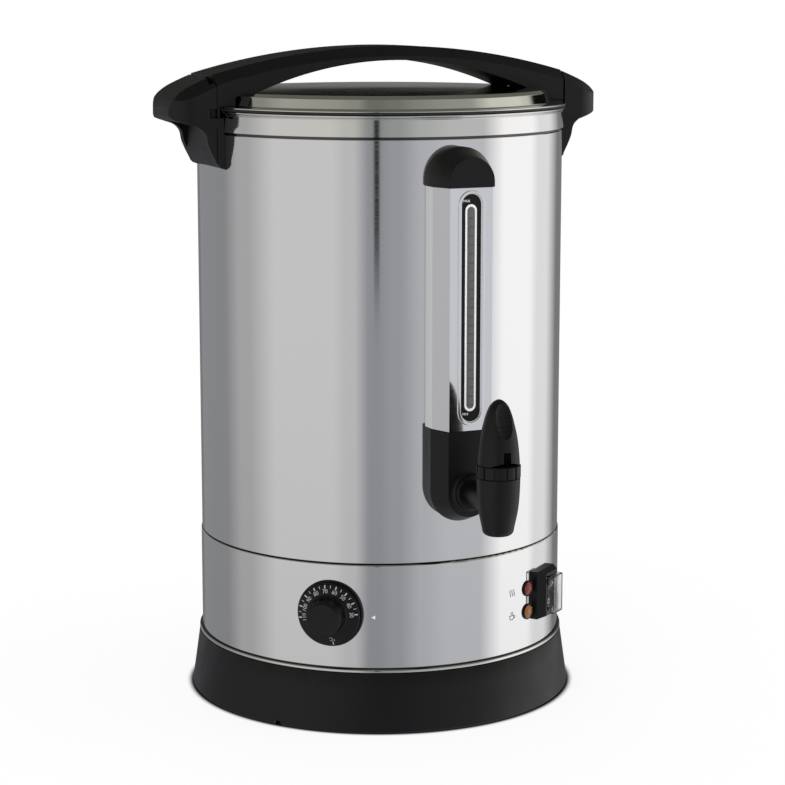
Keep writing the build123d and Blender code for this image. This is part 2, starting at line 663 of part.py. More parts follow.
def gauge_tee():
    """Fitting on the tap's shank that feeds the gauge tube."""
    collar = along_y(12.5, 146, 164.5, z=SHANK_Z)
    riser = Pos(0, -TUBE_N, 0) * drum(6.6, SHANK_Z, 206)
    tee = collar + riser
    tee -= along_y(SHANK_R, 140, 170, z=SHANK_Z)
    tee -= Pos(0, -TUBE_N, 0) * drum(TUBE_R, TUBE_Z[0], 210)
    return tee - Pos(0, -TUBE_N, 0) * drum(TUBE_BORE_R, SHANK_Z, TUBE_Z[0])


def gauge_seals():
    """Silicone sleeves at the two ends of the gauge tube."""
    ring = Circle(7.0) - Circle(TUBE_R)
    places = ((206.0, 210.0), (403.0, 409.0))
    return group(Pos(0, -TUBE_N, 0) * prism(ring, low, high) for low, high in places)


def tube_plug():
    """Vented plug in the top of the gauge tube, held under the cap."""
    plug = drum(7.0, TUBE_Z[1], TUBE_Z[1] + 5) + drum(TUBE_BORE_R, TUBE_Z[1] - 8, TUBE_Z[1])
    return Pos(0, -TUBE_N, 0) * (plug - drum(1.0, TUBE_Z[1] - 9, TUBE_Z[1] + 6))


# ---- tap ---------------------------------------------------------------------------------------------
def tap_body():
    """Moulded tap: threaded shank, barrel with a shoulder, tapered cup with the outlet below."""
    low, high = CUP_Z
    cup = revolve(
        Plane.XZ * make_face(
            Polyline((0, high), (0, low), (8.4, low))
            + ThreePointArc((8.4, low), (10.4, low + 1.2), (11.3, low + 4.4))
            + ThreePointArc((11.3, low + 4.4), (14.4, low + 22), (CUP_R - 0.2, high))
            + Line((CUP_R - 0.2, high), (0, high))
        ),
        axis=Axis.Z,
    )
    body = Pos(0, -TAP_N, 0) * cup
    body += along_y(SHANK_R, 122, COLUMN_FRONT + 1, z=SHANK_Z)
    body += along_y(13.4, COLUMN_FRONT + CAP_OVER * 0.7, COLUMN_FRONT + 4.5, z=SHANK_Z)
    body += along_y(BARREL_R, COLUMN_FRONT + 4, TAP_N, z=SHANK_Z)
    chamber = turned((0, SEAT_Z), (12.2, SEAT_Z), (12.2, high + 1), (0, high + 1))
    chamber += drum(OUTLET_R, low - 1, SEAT_Z + 1)
    body -= Pos(0, -TAP_N, 0) * chamber
    body -= along_y(WATERWAY_R, 121, TAP_N, z=SHANK_Z)
    return body - Pos(0, -TUBE_N, 0) * drum(TUBE_BORE_R - 0.4, SHANK_Z, SHANK_Z + 12)


def tap_bonnet():
    """Ribbed collar that closes the cup and guides the stem."""
    low = CUP_Z[1]
    bonnet = drum(CUP_R, low, BONNET_TOP_Z)
    bonnet = chamfer(bonnet.edges().group_by(Axis.Z)[-1], 0.5)
    groove = Pos(0, 0, (low + BONNET_TOP_Z) / 2 - 0.6) * Box(1.4, 1.3, BONNET_TOP_Z - low - 2.2)
    for place in PolarLocations(CUP_R, 12, start_angle=15):
        bonnet -= place * Rot(0, 0, 90) * groove
    bonnet += drum(12.0, low - 3, low)
    bonnet -= drum(8.5, low - 4, BONNET_TOP_Z - 4)
    bonnet -= drum(STEM_R + RUNNING, low - 4, BONNET_TOP_Z + 1)
    return Pos(0, -TAP_N, 0) * bonnet


def tap_stem():
    """Steel stem from the seat cup up to the lever's pin, with a spring collar."""
    stem = drum(STEM_R, SEAT_Z + 4, PIN_Z + 2.6)
    stem = chamfer(stem.edges().group_by(Axis.Z)[-1], 0.6)
    stem += drum(6.5, 191, 192.5)
    stem -= Pos(0, 0, PIN_Z) * Rot(0, 90, 0) * Cylinder(PIN_R, 20)
    return Pos(0, -TAP_N, 0) * stem


def seat_cup():
    """Silicone bell on the stem's foot that closes the outlet."""
    cup = turned((0, SEAT_Z), (8.4, SEAT_Z), (9.0, SEAT_Z + 1), (7.0, SEAT_Z + 5), (4.6, SEAT_Z + 9),
                 (4.6, SEAT_Z + 14), (0, SEAT_Z + 14))
    cup -= drum(STEM_R, SEAT_Z + 4, SEAT_Z + 20)
    return Pos(0, -TAP_N, 0) * cup


def stem_spring():
    """Coil spring between the stem's collar and the bonnet, of square wire."""
    low, high, turns, radius, wire = 193.1, 208.3, 4, 5.2, 1.1
    coil = Helix(pitch=(high - low) / turns, height=high - low, radius=radius)
    section = Plane(origin=coil @ 0, x_dir=(1, 0, 0), z_dir=coil % 0) * Rectangle(wire, wire)
    return Pos(0, -TAP_N, low) * sweep(section, path=coil, is_frenet=True)


def lever_pin():
    """Cross pin through the head of the stem."""
    return Pos(0, -TAP_N, PIN_Z) * Rot(0, 90, 0) * Cylinder(PIN_R, 22)


def tap_lever():
    """Bullet-shaped lever: thumb recess with ridges, slot for the stem, heel cut for the tilt."""
    low, tip = LEVER_Z
    outline = make_face(
        Polyline((0, tip), (0, low), (LEVER_R, low))
        + Spline((LEVER_R, low), (13.4, 230.3), (11.2, 240.5), (8.2, 250.6), (4.7, 256.9), (0, tip),
                 tangents=((-0.04, 1), (-1, 0)))
    )
    lever = revolve(Plane.XZ * outline, axis=Axis.Z)
    lever -= thumb_recess()
    lever -= block((-2.75, 2.75), (-20, 4.2), (low - 1, PIN_Z + 4.6))
    heel = Polygon((-10, low), (-20, low), (-20, low + 10 * sin(radians(LEVER_SWING)) / cos(radians(LEVER_SWING))),
                   align=None)
    lever -= extrude(Plane.YZ * heel, amount=20, both=True)
    lever -= Pos(0, 0, PIN_Z) * Rot(0, 90, 0) * Cylinder(PIN_R + RUNNING, 22.6)
    return Pos(0, -TAP_N, 0) * lever


def thumb_recess():
    """Oval scoop in the front of the lever, less the ridges left standing in it."""
    centre_z, tilt = 241.5, 22.0
    oval = extrude(Ellipse(5.6, 13.0), amount=8)
    place = Pos(0, -10.6, centre_z) * Rot(90 - tilt, 0, 0)
    scoop = place * oval
    for step in range(4):
        ridge = Pos(0, -6.5 + 2.6 * step, 0.3) * Box(7.0, 0.9, 0.6)
        scoop -= place * ridge
    return scoop


def tap_washers():
    """Silicone washers on both sides of the vessel wall."""
    ring = Circle(13.0) - Circle(SHANK_R)
    outside = extrude(Plane.XZ.offset(138) * Pos(0, SHANK_Z) * ring, amount=8) - drum(BODY_R, 150, 220)
    inside = extrude(Plane.XZ.offset(136) * Pos(0, SHANK_Z) * ring, amount=6) & drum(BODY_R - SHEET, 150, 220)
    return group((outside, inside))


def tap_locknut():
    """Hexagon nut inside the vessel that pulls the tap tight."""
    nut = RegularPolygon(14.0, 6, major_radius=False) - Circle(SHANK_R)
    return extrude(Plane.XZ.offset(130) * Pos(0, SHANK_Z) * nut, amount=6)


# ---- side handles --------------------------------------------------------------------------------------
def side_screw_places():
    """Screw centres of both side handles, on the vessel wall."""
    return [(side * BODY_R, y, z) for side in (-1, 1) for y in (-13, 13) for z in (421,)]


def side_handle():
    """Right-hand side handle: bevelled grip over a finger recess between two cheeks, back plate on the body."""
    top = Spline((138, 480.4), (157.8, 470.8), (168.1, 463), (SIDE_END, 454), tangents=((1, -0.3), (0, -1)))
    end = Line((SIDE_END, 454), (SIDE_END, 449.4))
    corner = ThreePointArc((SIDE_END, 449.4), (171.2, 446.4), (168, 444.9))
    under = Line((168, 444.9), (160, 442.4))
    cheek = Spline((160, 442.4), (153.4, 437), (151.2, 428), (146.8, 418.5), (141, 411.5), tangents=((-1, -0.3), (-0.7, -0.6)))
    foot = Polyline((141, 411.5), (136, 410), (136, 480.4), (138, 480.4))
    profile = make_face(top + end + corner + under + cheek + foot)
    half = SIDE_HALF_WIDTH
    blank = extrude(Plane.XZ * profile, amount=half, both=True)
    plan = Polygon((130, -half), (163, -half), (SIDE_END + 1, -23), (SIDE_END + 1, 23), (163, half), (130, half), align=None)
    plan = fillet([v for v in plan.vertices() if v.X > 140], 7)
    blank = bevelled(blank)
    blank &= extrude(Pos(0, 0, 400) * plan, amount=100)
    recess = Polygon((147.2, 400), (147.2, 451), (152, 457.5), (162, 457.5), (167, 450), (167, 400), align=None)
    blank -= extrude(Plane.XZ * fillet([v for v in recess.vertices() if v.Y > 440], 2.5), amount=half - 5, both=True)
    for side in (-1, 1):
        blank -= block((148, 170), sorted((side * (half - 1.2), side * (half + 2))), (405, 442.5))
    blank -= body_envelope()
    blank -= drum(JOINT_R + JOINT_GAP, LUG_Z[0] - 0.4, 500)
    for x, y, z in side_screw_places():
        blank -= Pos(abs(x), y, z) * Rot(0, 90, 0) * Cylinder(2.5, 14)
    return blank - lug_way()


def bevelled(blank):
    """Long bevel along the two top edges of a handle blank."""
    for edge in blank.edges().filter_by(lambda e: abs(e.center().Y) > SIDE_HALF_WIDTH - 0.1 and e.center().Z > 463):
        if edge.length < 20:
            continue
        y = edge.center().Y
        face = [f for f in blank.faces() if abs(f.center().Y - y) < 0.01][0]
        mine = [e for e in blank.edges() if near_point(e.center(), edge.center())]
        blank = chamfer(mine, BEVEL_DROP, BEVEL_IN, reference=face)
    return blank


def near_point(a, b):
    """Whether two points share a place."""
    return (a - b).length < 0.01


def lug_way():
    """Bayonet way of the lid's lug in the right-hand handle: mouth at the back, drop-in channel behind it."""
    y_out, y_in = -LUG_Y[0], -LUG_Y[1]
    mouth = block((120, 160), (y_out - 2, SIDE_HALF_WIDTH + 2), (LUG_Z[0] - 0.4, LUG_Z[1] + 0.4))
    mouth &= drum(JOINT_R + 5, 440, 470)
    channel = block((120, 160), (y_in - 0.4, y_out + 0.3), (LUG_Z[0] - 0.4, 490))
    channel &= drum(LUG_R + 0.3, 440, 495)
    return mouth + channel


def side_screws():
    """Pan-head screws from inside the vessel into the handles' back plates."""
    screws = []
    for x, y, z in side_screw_places():
        side = 1 if x > 0 else -1
        wall = sqrt((BODY_R - SHEET) ** 2 - (abs(y) + 5) ** 2)
        shank = Cylinder(2.5, 9.5)
        screw = Pos(side * (wall + 3.6), y, z) * Rot(0, 90, 0) * shank
        screw += Pos(side * (wall - 2.4), y, z) * Rot(0, 90, 0) * Cylinder(4.6, 2.6)
        screws.append(screw)
    return group(screws)


def side_washers():
    """Silicone washers under the heads of the side handle screws."""
    washers = []
    for x, y, z in side_screw_places():
        side = 1 if x > 0 else -1
        wall = sqrt((BODY_R - SHEET) ** 2 - (abs(y) + 5) ** 2)
        ring = Pos(side * (wall + 0.4), y, z) * Rot(0, 90, 0) * (Cylinder(5, 3.0) - Cylinder(2.5, 4))
        washers.append(ring & drum(BODY_R - SHEET, 400, 440))
    return group(washers)


# ---- lid -----------------------------------------------------------------------------------------------
def lid_gasket():
    """Silicone ring between the vessel's rim and the lid's flange, with a lip inside the vessel."""
    return turned(
        (134.5, FLANGE_Z), (134.5, FLANGE_Z - 1.0), (136.6, FLANGE_Z - 1.0), (136.6, FLANGE_Z - 8.6),
        (137.8, FLANGE_Z - 9.6), (139.6, FLANGE_Z - 6.6), (139.6, RIM_TOP_Z + 0.05), (142.7, RIM_TOP_Z + 0.05),
        (142.7, FLANGE_Z),
    )


def lid_outer():
    """Outer outline of the lid, from the flange's edge up the step to the crown."""
    top = FLANGE_Z + FLANGE_H
    return [(FLANGE_R, FLANGE_Z), (FLANGE_R, top), (LID_STEP_R, top), (LID_STEP_R - 1.9, LID_TOP_Z - 2.6),
            (LID_STEP_R - 5.0, LID_TOP_Z), (0, LID_TOP_Z + LID_DOME)]


def lid_pan():
    """Pressed steel lid: rolled flange, step and low crown, open below."""
    top = FLANGE_Z + FLANGE_H
    outer = lid_outer()
    inner = [(0, LID_TOP_Z + LID_DOME - SHEET), (LID_STEP_R - 5.3, LID_TOP_Z - SHEET),
             (LID_STEP_R - 2.7, LID_TOP_Z - 2.9), (LID_STEP_R - 0.9, top - SHEET), (FLANGE_R - 3, top - SHEET),
             (FLANGE_R - 3, FLANGE_Z)]
    outline = Polygon(*outer, *inner, align=None)
    edge = [v for v in outline.vertices() if abs(v.X - FLANGE_R) < 0.01]
    outline = fillet(edge, 1.1)
    rise = [v for v in outline.vertices() if near_flat(v, LID_STEP_R, top)]
    outline = fillet(rise, 1.0)
    pan = revolve(Plane.XZ * outline, axis=Axis.Z)
    for x in (-LID_SCREW_X, LID_SCREW_X):
        pan -= Pos(x, 0, LID_TOP_Z) * Cylinder(2.6, 8)
    return pan


LID_SCREW_X = 112.0


def near_flat(vertex, x, y):
    """Whether a sketch vertex lies at a place."""
    return abs(vertex.X - x) < 0.01 and abs(vertex.Y - y) < 0.01


def lid_envelope():
    """The lid without its hollow, for cutting the handle to it."""
    top = FLANGE_Z + FLANGE_H
    return turned((0, FLANGE_Z - 8), (FLANGE_R + 0.4, FLANGE_Z - 8), (FLANGE_R + 0.4, top + 0.2),
                  (LID_STEP_R + 1.2, top + 0.2), (LID_STEP_R - 0.2, top + 1.4), *lid_outer()[3:])


def lid_handle():
    """Arched lid handle with a finger gap, feet on the lid and a bayonet lug at each end."""
    half = HANDLE_HALF_WIDTH
    centre = ARCH_TOP_Z - ARCH_R
    section = Polygon((-half, 440), (half, 440), (half, ARCH_TOP_Z - BEVEL_DROP), (half - BEVEL_IN, ARCH_TOP_Z),
                      (-half + BEVEL_IN, ARCH_TOP_Z), (-half, ARCH_TOP_Z - BEVEL_DROP), align=None)
    about = Axis((0, 0, centre), (0, 1, 0))
    arch = revolve(Plane.YZ * section, axis=about, revolution_arc=36)
    arch = arch.rotate(about, -18)
    arch &= drum(JOINT_R - JOINT_GAP, 430, 510)
    gap = extrude(Plane.XZ * Pos(0, GRIP_GAP_Z) * Ellipse(GRIP_GAP_A, GRIP_GAP_B), amount=half + 10, both=True)
    arch -= gap
    arch -= block((-170, 170), (-50, 50), (400, FLANGE_Z + FLANGE_H + 0.2))
    lug = lid_lug()
    for piece in both_ends(lug):
        arch += piece
    arch -= lid_envelope()
    for x in (-LID_SCREW_X, LID_SCREW_X):
        arch -= Pos(x, 0, LID_TOP_Z + 4) * Cylinder(2.5, 14)
    return arch


def lid_lug():
    """Bayonet lug and neck at the front corner of the handle's left end."""
    neck = block((-150, -120), (-HANDLE_HALF_WIDTH, LUG_Y[1]), (LUG_Z[0], 462))
    neck = neck & drum(JOINT_R - JOINT_GAP, 440, 470)
    neck -= drum(FLANGE_R + 0.4, 440, 461)
    lug = block((-160, -120), LUG_Y, LUG_Z) & (drum(LUG_R, 440, 470) - drum(FLANGE_R + 0.4, 430, 480))
    toe = block((-150, -120), (-42, -HANDLE_HALF_WIDTH + 1), (FLANGE_Z + FLANGE_H + 0.2, LID_TOP_Z - 0.6))
    toe &= drum(LID_STEP_R + 6, 440, 480)
    return neck + lug + toe


def lid_screws():
    """Two screws from under the lid into the handle's feet."""
    screw = drum(2.5, LID_TOP_Z - 2, LID_TOP_Z + 9) + drum(4.6, LID_TOP_Z - 3.4, LID_TOP_Z - 0.75)
    return group(Pos(x, 0, 0) * screw for x in (-LID_SCREW_X, LID_SCREW_X))


# ---- the whole urn -------------------------------------------------------------------------------------
def pieces():
    """Every node by name."""
    handle = side_handle()
    return {
        "base_ring": base_ring(),
        "foot_pads": foot_pads(),
        "base_plate": base_plate(),
        "tie_bolts": tie_bolts(),
        "tie_pillars": tie_pillars(),
        "lower_shell": lower_shell(),
        "vessel": vessel(),
        "heat_spreader": heat_spreader(),
        "main_element": sheathed_element(ELEMENT_R, ELEMENT_TUBE_R, 20),
        "keep_warm_element": Rot(0, 0, 180) * sheathed_element(WARM_R, WARM_TUBE_R, 20),
        "element_nuts": element_nuts(),
        "boil_dry_cutout": boil_dry_cutout(),
        "cutout_bracket": cutout_bracket(),
        "thermostat_bulb": thermostat_bulb(),
        "bulb_clip": bulb_clip(),
        "terminal_block": terminal_block(),
        "thermostat_body": thermostat_body(),
        "thermostat_screws": thermostat_screws(),
        "dial_bezel": dial_bezel(),
        "thermostat_knob": thermostat_knob(),
        "thermostat_shaft": thermostat_shaft(),
        "heating_lamp_lens": lamp_lens(LAMP_Z[0]),
        "keep_warm_lamp_lens": lamp_lens(LAMP_Z[1]),
        "lamp_bezels": lamp_bezels(),
        "lamp_bodies": lamp_bodies(),
        "switch_body": switch_body(),
        "switch_rocker": switch_rocker(),
        "switch_cover": switch_cover(),
        "power_inlet": power_inlet(),
        "inlet_pins": inlet_pins(),
        "inlet_screws": inlet_screws(),
        "gauge_cover": gauge_cover(),
        "gauge_cap": gauge_cap(),
        "tap_housing": tap_housing(),
        "scale_plate": scale_plate(),
        "gauge_tube": gauge_tube(),
        "gauge_tee": gauge_tee(),
        "gauge_seals": gauge_seals(),
        "tube_plug": tube_plug(),
        "tap_body": tap_body(),
        "tap_bonnet": tap_bonnet(),
        "tap_stem": tap_stem(),
        "seat_cup": seat_cup(),
        "stem_spring": stem_spring(),
        "lever_pin": lever_pin(),
        "tap_lever": tap_lever(),
        "tap_washers": tap_washers(),
        "tap_locknut": tap_locknut(),
        "side_handle_right": handle,
        "side_handle_left": Rot(0, 0, 180) * handle,
        "side_screws": side_screws(),
        "side_washers": side_washers(),
        "lid_gasket": lid_gasket(),
        "lid_pan": lid_pan(),
        "lid_handle": lid_handle(),
        "lid_screws": lid_screws(),
    }


os.makedirs("parts", exist_ok=True)
for name, piece in pieces().items():
    export_step(piece, f"parts/{name}.step")
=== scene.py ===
"""Hot water urn: camera, studio, materials, finished forms in place of CAD pieces, and printed marks."""

import json
from math import cos, hypot, pi, radians, sin, sqrt, tan

import bmesh
import bpy
from mathutils import Matrix, Vector


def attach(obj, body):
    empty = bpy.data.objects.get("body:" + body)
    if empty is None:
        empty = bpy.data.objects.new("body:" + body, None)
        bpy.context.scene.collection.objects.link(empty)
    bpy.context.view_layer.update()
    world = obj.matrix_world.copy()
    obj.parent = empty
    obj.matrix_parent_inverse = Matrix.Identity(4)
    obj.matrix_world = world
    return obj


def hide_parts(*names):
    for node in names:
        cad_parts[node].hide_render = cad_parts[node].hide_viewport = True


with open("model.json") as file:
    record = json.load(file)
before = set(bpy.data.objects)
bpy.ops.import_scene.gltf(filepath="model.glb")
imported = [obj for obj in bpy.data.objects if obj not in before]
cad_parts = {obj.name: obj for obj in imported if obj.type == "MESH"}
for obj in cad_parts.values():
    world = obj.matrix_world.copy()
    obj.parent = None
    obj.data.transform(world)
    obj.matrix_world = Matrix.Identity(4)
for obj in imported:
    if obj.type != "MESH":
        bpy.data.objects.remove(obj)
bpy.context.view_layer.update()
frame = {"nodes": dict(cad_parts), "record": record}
NODES = frame["nodes"]
BODY_OF = {node: body for body, nodes in frame["record"]["behaviour"]["bodies"].items() for node in nodes}
SLOT_OF = {part["node"]: part["material_slot"] for part in frame["record"]["subparts"]}
MM = 0.001


def add_object(name, data):
    """New object in the scene."""
    made = bpy.data.objects.new(name, data)
    bpy.context.scene.collection.objects.link(made)
    return made


# ---- camera ----
IMAGE_SIDE = 785  # pixels, square
FOCAL = 2285  # pixels
SENSOR = 36.0  # mm
CAMERA_DISTANCE = 1.764  # metres from the vessel's axis, along the floor
CAMERA_HEIGHT = 0.5425
CAMERA_AZIMUTH = radians(23)  # left of the urn's front
CAMERA_PITCH = radians(10.07)
CAMERA_PAN = 0.0057  # radians, to the right of the axis


def add_camera():
    """Camera at the photograph's distance, height and angle."""
    data = bpy.data.cameras.new("camera")
    data.sensor_width = SENSOR
    data.lens = FOCAL * SENSOR / IMAGE_SIDE
    camera = add_object("camera", data)
    camera.location = (
        -CAMERA_DISTANCE * sin(CAMERA_AZIMUTH),
        -CAMERA_DISTANCE * cos(CAMERA_AZIMUTH),
        CAMERA_HEIGHT,
    )
    camera.rotation_euler = (pi / 2 - CAMERA_PITCH, 0, -CAMERA_AZIMUTH - CAMERA_PAN)
    bpy.context.scene.camera = camera


# ---- node helpers ----
NOISE_SPAN = (0.3, 0.7)  # range of a noise's factor that is stretched over the whole effect


class Shader:
    """A node tree with short calls for the nodes used here."""

    def __init__(self, tree):
        self.tree = tree

    def node(self, kind, **settings):
        """New node with its settings; inputs are given by name or number in a dictionary."""
        made = self.tree.nodes.new(kind)
        inputs = settings.pop("inputs", {})
        for key, value in settings.items():
            setattr(made, key, value)
        for key, value in inputs.items():
            self.feed(made.inputs[key], value)
        return made

    def feed(self, socket, value):
        """Sets a socket to a constant or links it to another socket."""
        if isinstance(value, bpy.types.NodeSocket):
            self.tree.links.new(value, socket)
        else:
            socket.default_value = value

    def look(self, **values):
        """Sets or links sockets of the tree's Principled shader."""
        for key, value in values.items():
            self.feed(self.tree.nodes["Principled BSDF"].inputs[key.replace("_", " ")], value)

    def out(self, kind, **settings):
        """First output of a new node."""
        return self.node(kind, **settings).outputs[0]

    def math(self, operation, a, b=0.0):
        """Result of one Math node."""
        return self.out("ShaderNodeMath", operation=operation, inputs={0: a, 1: b})

    def product(self, first, *others):
        """All values multiplied."""
        for other in others:
            first = self.math("MULTIPLY", first, other)
        return first

    def span(self, value, low, high, to_low=0.0, to_high=1.0):
        """Value mapped smoothly from one range to another, clamped."""
        inputs = {"Value": value, "From Min": low, "From Max": high, "To Min": to_low, "To Max": to_high}
        return self.out("ShaderNodeMapRange", interpolation_type="SMOOTHSTEP", inputs=inputs)

    def vary(self, noise, low, high):
        """Factor of a noise turned into a value between two others."""
        return self.span(noise, *NOISE_SPAN, low, high)

    def ramp(self, value, stops):
        """Colour ramp over 0 to 1 from (place, colour) stops."""
        made = self.node("ShaderNodeValToRGB", inputs={0: value})
        elements = made.color_ramp.elements
        elements[0].position, elements[0].color = stops[0]
        elements[1].position, elements[1].color = stops[-1]
        for place, colour in stops[1:-1]:
            elements.new(place).color = colour
        return made.outputs[0]

    def tone(self, value, colour, *shades):
        """Colour made lighter or darker over 0 to 1, from (place, factor) pairs."""
        return self.ramp(value, [(place, shaded(colour, factor)) for place, factor in shades])

    def noise(self, vector, scale, detail=2.0, roughness=0.5):
        """Factor of a noise texture."""
        inputs = {"Vector": vector, "Scale": scale, "Detail": detail, "Roughness": roughness}
        return self.out("ShaderNodeTexNoise", inputs=inputs)

    def place(self):
        """Position on the object in metres."""
        return self.node("ShaderNodeTexCoord").outputs["Object"]

    def split(self, vector):
        """The three components of a vector."""
        return self.node("ShaderNodeSeparateXYZ", inputs={0: vector}).outputs

    def scaled(self, vector, factors):
        """Vector times a factor along each axis."""
        return self.out("ShaderNodeVectorMath", operation="MULTIPLY", inputs={0: vector, 1: factors})

    def mix(self, factor, first, second):
        """Blend of two colours, by the Mix node's colour sockets."""
        made = self.node("ShaderNodeMix", data_type="RGBA", inputs={0: factor, 6: first, 7: second})
        return made.outputs[2]

    def bump(self, height, distance, strength=1.0, below=None):
        """Normal from a height in units of the distance, on top of another bump where one is given."""
        inputs = {"Height": height, "Distance": distance, "Strength": strength}
        if below is not None:
            inputs["Normal"] = below
        return self.out("ShaderNodeBump", inputs=inputs)

    def blend(self, factor, first, second):
        """Blend of two shaders."""
        return self.out("ShaderNodeMixShader", inputs={0: factor, 1: first, 2: second})


def shaded(colour, factor):
    """Colour made lighter or darker, with alpha."""
    return (*[channel * factor for channel in colour], 1)


# ---- studio ----
def grey(level, warm=0.0):
    """Grey colour, warmer or cooler by a small amount."""
    return (level * (1 + warm), level, level * (1 - warm), 1)


# What stands round the table, by azimuth in degrees from the front towards +X: (from, to, level, warmth).
STUDIO_WALLS = [
    (-150, -136, 0.27, -0.02),
    (-122, -112, 0.42, 0.0),
    (-92, -52, 0.63, 0.01),
    (-44, -38, 0.55, 0.0),
    (-30, -22, 0.31, -0.04),
    (-16, -10, 0.35, -0.04),
    (2, 6, 0.48, -0.03),
    (20, 44, 0.55, -0.02),
    (60, 86, 1.05, 0.01),
    (94, 108, 0.82, 0.0),
    (126, 150, 0.20, 0.02),
    (166, 180, 0.20, 0.0),
]
# Dark gaps in the walls: middle azimuth and half width in degrees, share of that width that is fully dark,
# and the sines of the elevation over which each begins and ends.
CAMERA_GAP = (-24.6, 2.2, 0.5, (-0.155, -0.09), (0.35, 0.2))
BACK_GAP = (155, 60, 0.8, (0.040, 0.048), (0.24, 0.18))
CAMERA_GAP_DEPTH = 0.95  # share of the light that is missing in the gap at the camera
BACK_GAP_COLOUR = (0.004, 0.004, 0.004, 1)
LOW_DIM = (-0.5, -0.12)  # sines of the elevation between which the walls brighten
LOW_SHARE = 0.8  # share of the walls' level below that range
SKY_DIM = (-0.02, 0.34)  # sines of the elevation between which the walls dim upwards
SKY_SHARE = 0.6  # share of the walls' level left at the top of that range
TINT_FROM = (0.0, 0.1)  # sines of the elevation between which the walls' tint changes
LOW_TINT = (0.99, 0.99, 1.02, 1)
HIGH_TINT = (1.0, 0.99, 0.88, 1)
CEILING = (0.115, 0.118, 0.098, 1)
CEILING_FROM = (0.35, 0.75)  # sines of the elevation between which walls turn into ceiling


def in_gap(sh, azimuth, z, gap):
    """One inside a dark gap of the studio, nought outside it."""
    middle, half, core, low, high = gap
    off = sh.math("ABSOLUTE", sh.math("SUBTRACT", sh.math("MULTIPLY", azimuth, 180 / pi), middle))
    return sh.product(sh.span(off, half, half * core), sh.span(z, *low), sh.span(z, *high))


def studio_colour(sh):
    """Colour of the studio by direction, as metal and gloss see it."""
    x, y, z = sh.split(sh.node("ShaderNodeTexCoord").outputs["Generated"])
    azimuth = sh.math("ARCTAN2", x, sh.math("MULTIPLY", y, -1.0))
    turn = sh.math("ADD", sh.math("DIVIDE", azimuth, 2 * pi), 0.5)
    stops = []
    for low, high, level, warm in STUDIO_WALLS:
        stops += [((edge + 180) / 360, grey(level, warm)) for edge in (low, high)]
    walls = sh.ramp(turn, stops)
    missing = sh.math("MULTIPLY", in_gap(sh, azimuth, z, CAMERA_GAP), CAMERA_GAP_DEPTH)
    brighten = sh.span(z, *LOW_DIM, LOW_SHARE, 1.0)
    dim = sh.span(z, *SKY_DIM, 1.0, SKY_SHARE)
    gain = sh.product(sh.math("SUBTRACT", 1.0, missing), brighten, dim)
    lit = sh.out("ShaderNodeVectorMath", operation="SCALE", inputs={0: walls, "Scale": gain})
    lit = sh.mix(in_gap(sh, azimuth, z, BACK_GAP), lit, BACK_GAP_COLOUR)
    tinted = sh.scaled(lit, sh.mix(sh.span(z, *TINT_FROM), LOW_TINT, HIGH_TINT))
    return sh.mix(sh.span(z, *CEILING_FROM), tinted, CEILING)


SOFT_LIGHT = 0.75
WHITE = (1, 1, 1, 1)


def add_world():
    """White to the camera and through glass, a plain soft light on matte surfaces, the studio in gloss."""
    world = bpy.data.worlds.new("studio")
    bpy.context.scene.world = world
    world.use_nodes = True
    world.cycles.sampling_method = "NONE"
    sh = Shader(world.node_tree)
    world.node_tree.nodes.clear()
    ray = sh.node("ShaderNodeLightPath").outputs
    seen = sh.math("MAXIMUM", ray["Is Camera Ray"], ray["Is Transmission Ray"])
    soft, gloss, white = [
        sh.out("ShaderNodeBackground", inputs={"Color": colour, "Strength": 1.0})
        for colour in (grey(SOFT_LIGHT), studio_colour(sh), WHITE)
    ]
    lit = sh.blend(ray["Is Glossy Ray"], soft, gloss)
    sh.node("ShaderNodeOutputWorld", inputs={0: sh.blend(seen, lit, white)})


LAMPS = [  # name, place in metres, side of the square in metres, watts
    ("key", (-1.6, -1.5, 2.2), 1.4, 26),
    ("fill", (2.0, -1.0, 1.6), 1.6, 16),
    ("back", (0.4, 2.2, 1.8), 1.6, 14),
]
LAMP_AIM = Vector((0, 0, 0.25))


def add_lamps():
    """Large soft lamps for shape on the matte pieces; the studio's own panels show in the gloss instead."""
    for name, place, side, watts in LAMPS:
        data = bpy.data.lights.new(name, "AREA")
        data.shape = "SQUARE"
        data.size = side
        data.energy = watts
        lamp = add_object(name, data)
        lamp.location = place
        lamp.rotation_euler = (LAMP_AIM - Vector(place)).to_track_quat("-Z", "Y").to_euler()
        lamp.visible_glossy = False
        lamp.visible_camera = False


FLOOR_HALF = 6.0
FLOOR_SHADOW_EDGE = (0.149, 0.155)  # metres from the axis between which the floor turns from a painted shadow under the base to pale
FLOOR_SHADOW_AND_PALE = (0.01, 0.9)  # the level of that painted shadow, and the pale
FLOOR_WHITE = 0.86  # share of plain white in what the camera sees of the floor by the urn
FLOOR_CLEAR = (0.2, 0.55)  # metres from the axis between which that share rises on to one


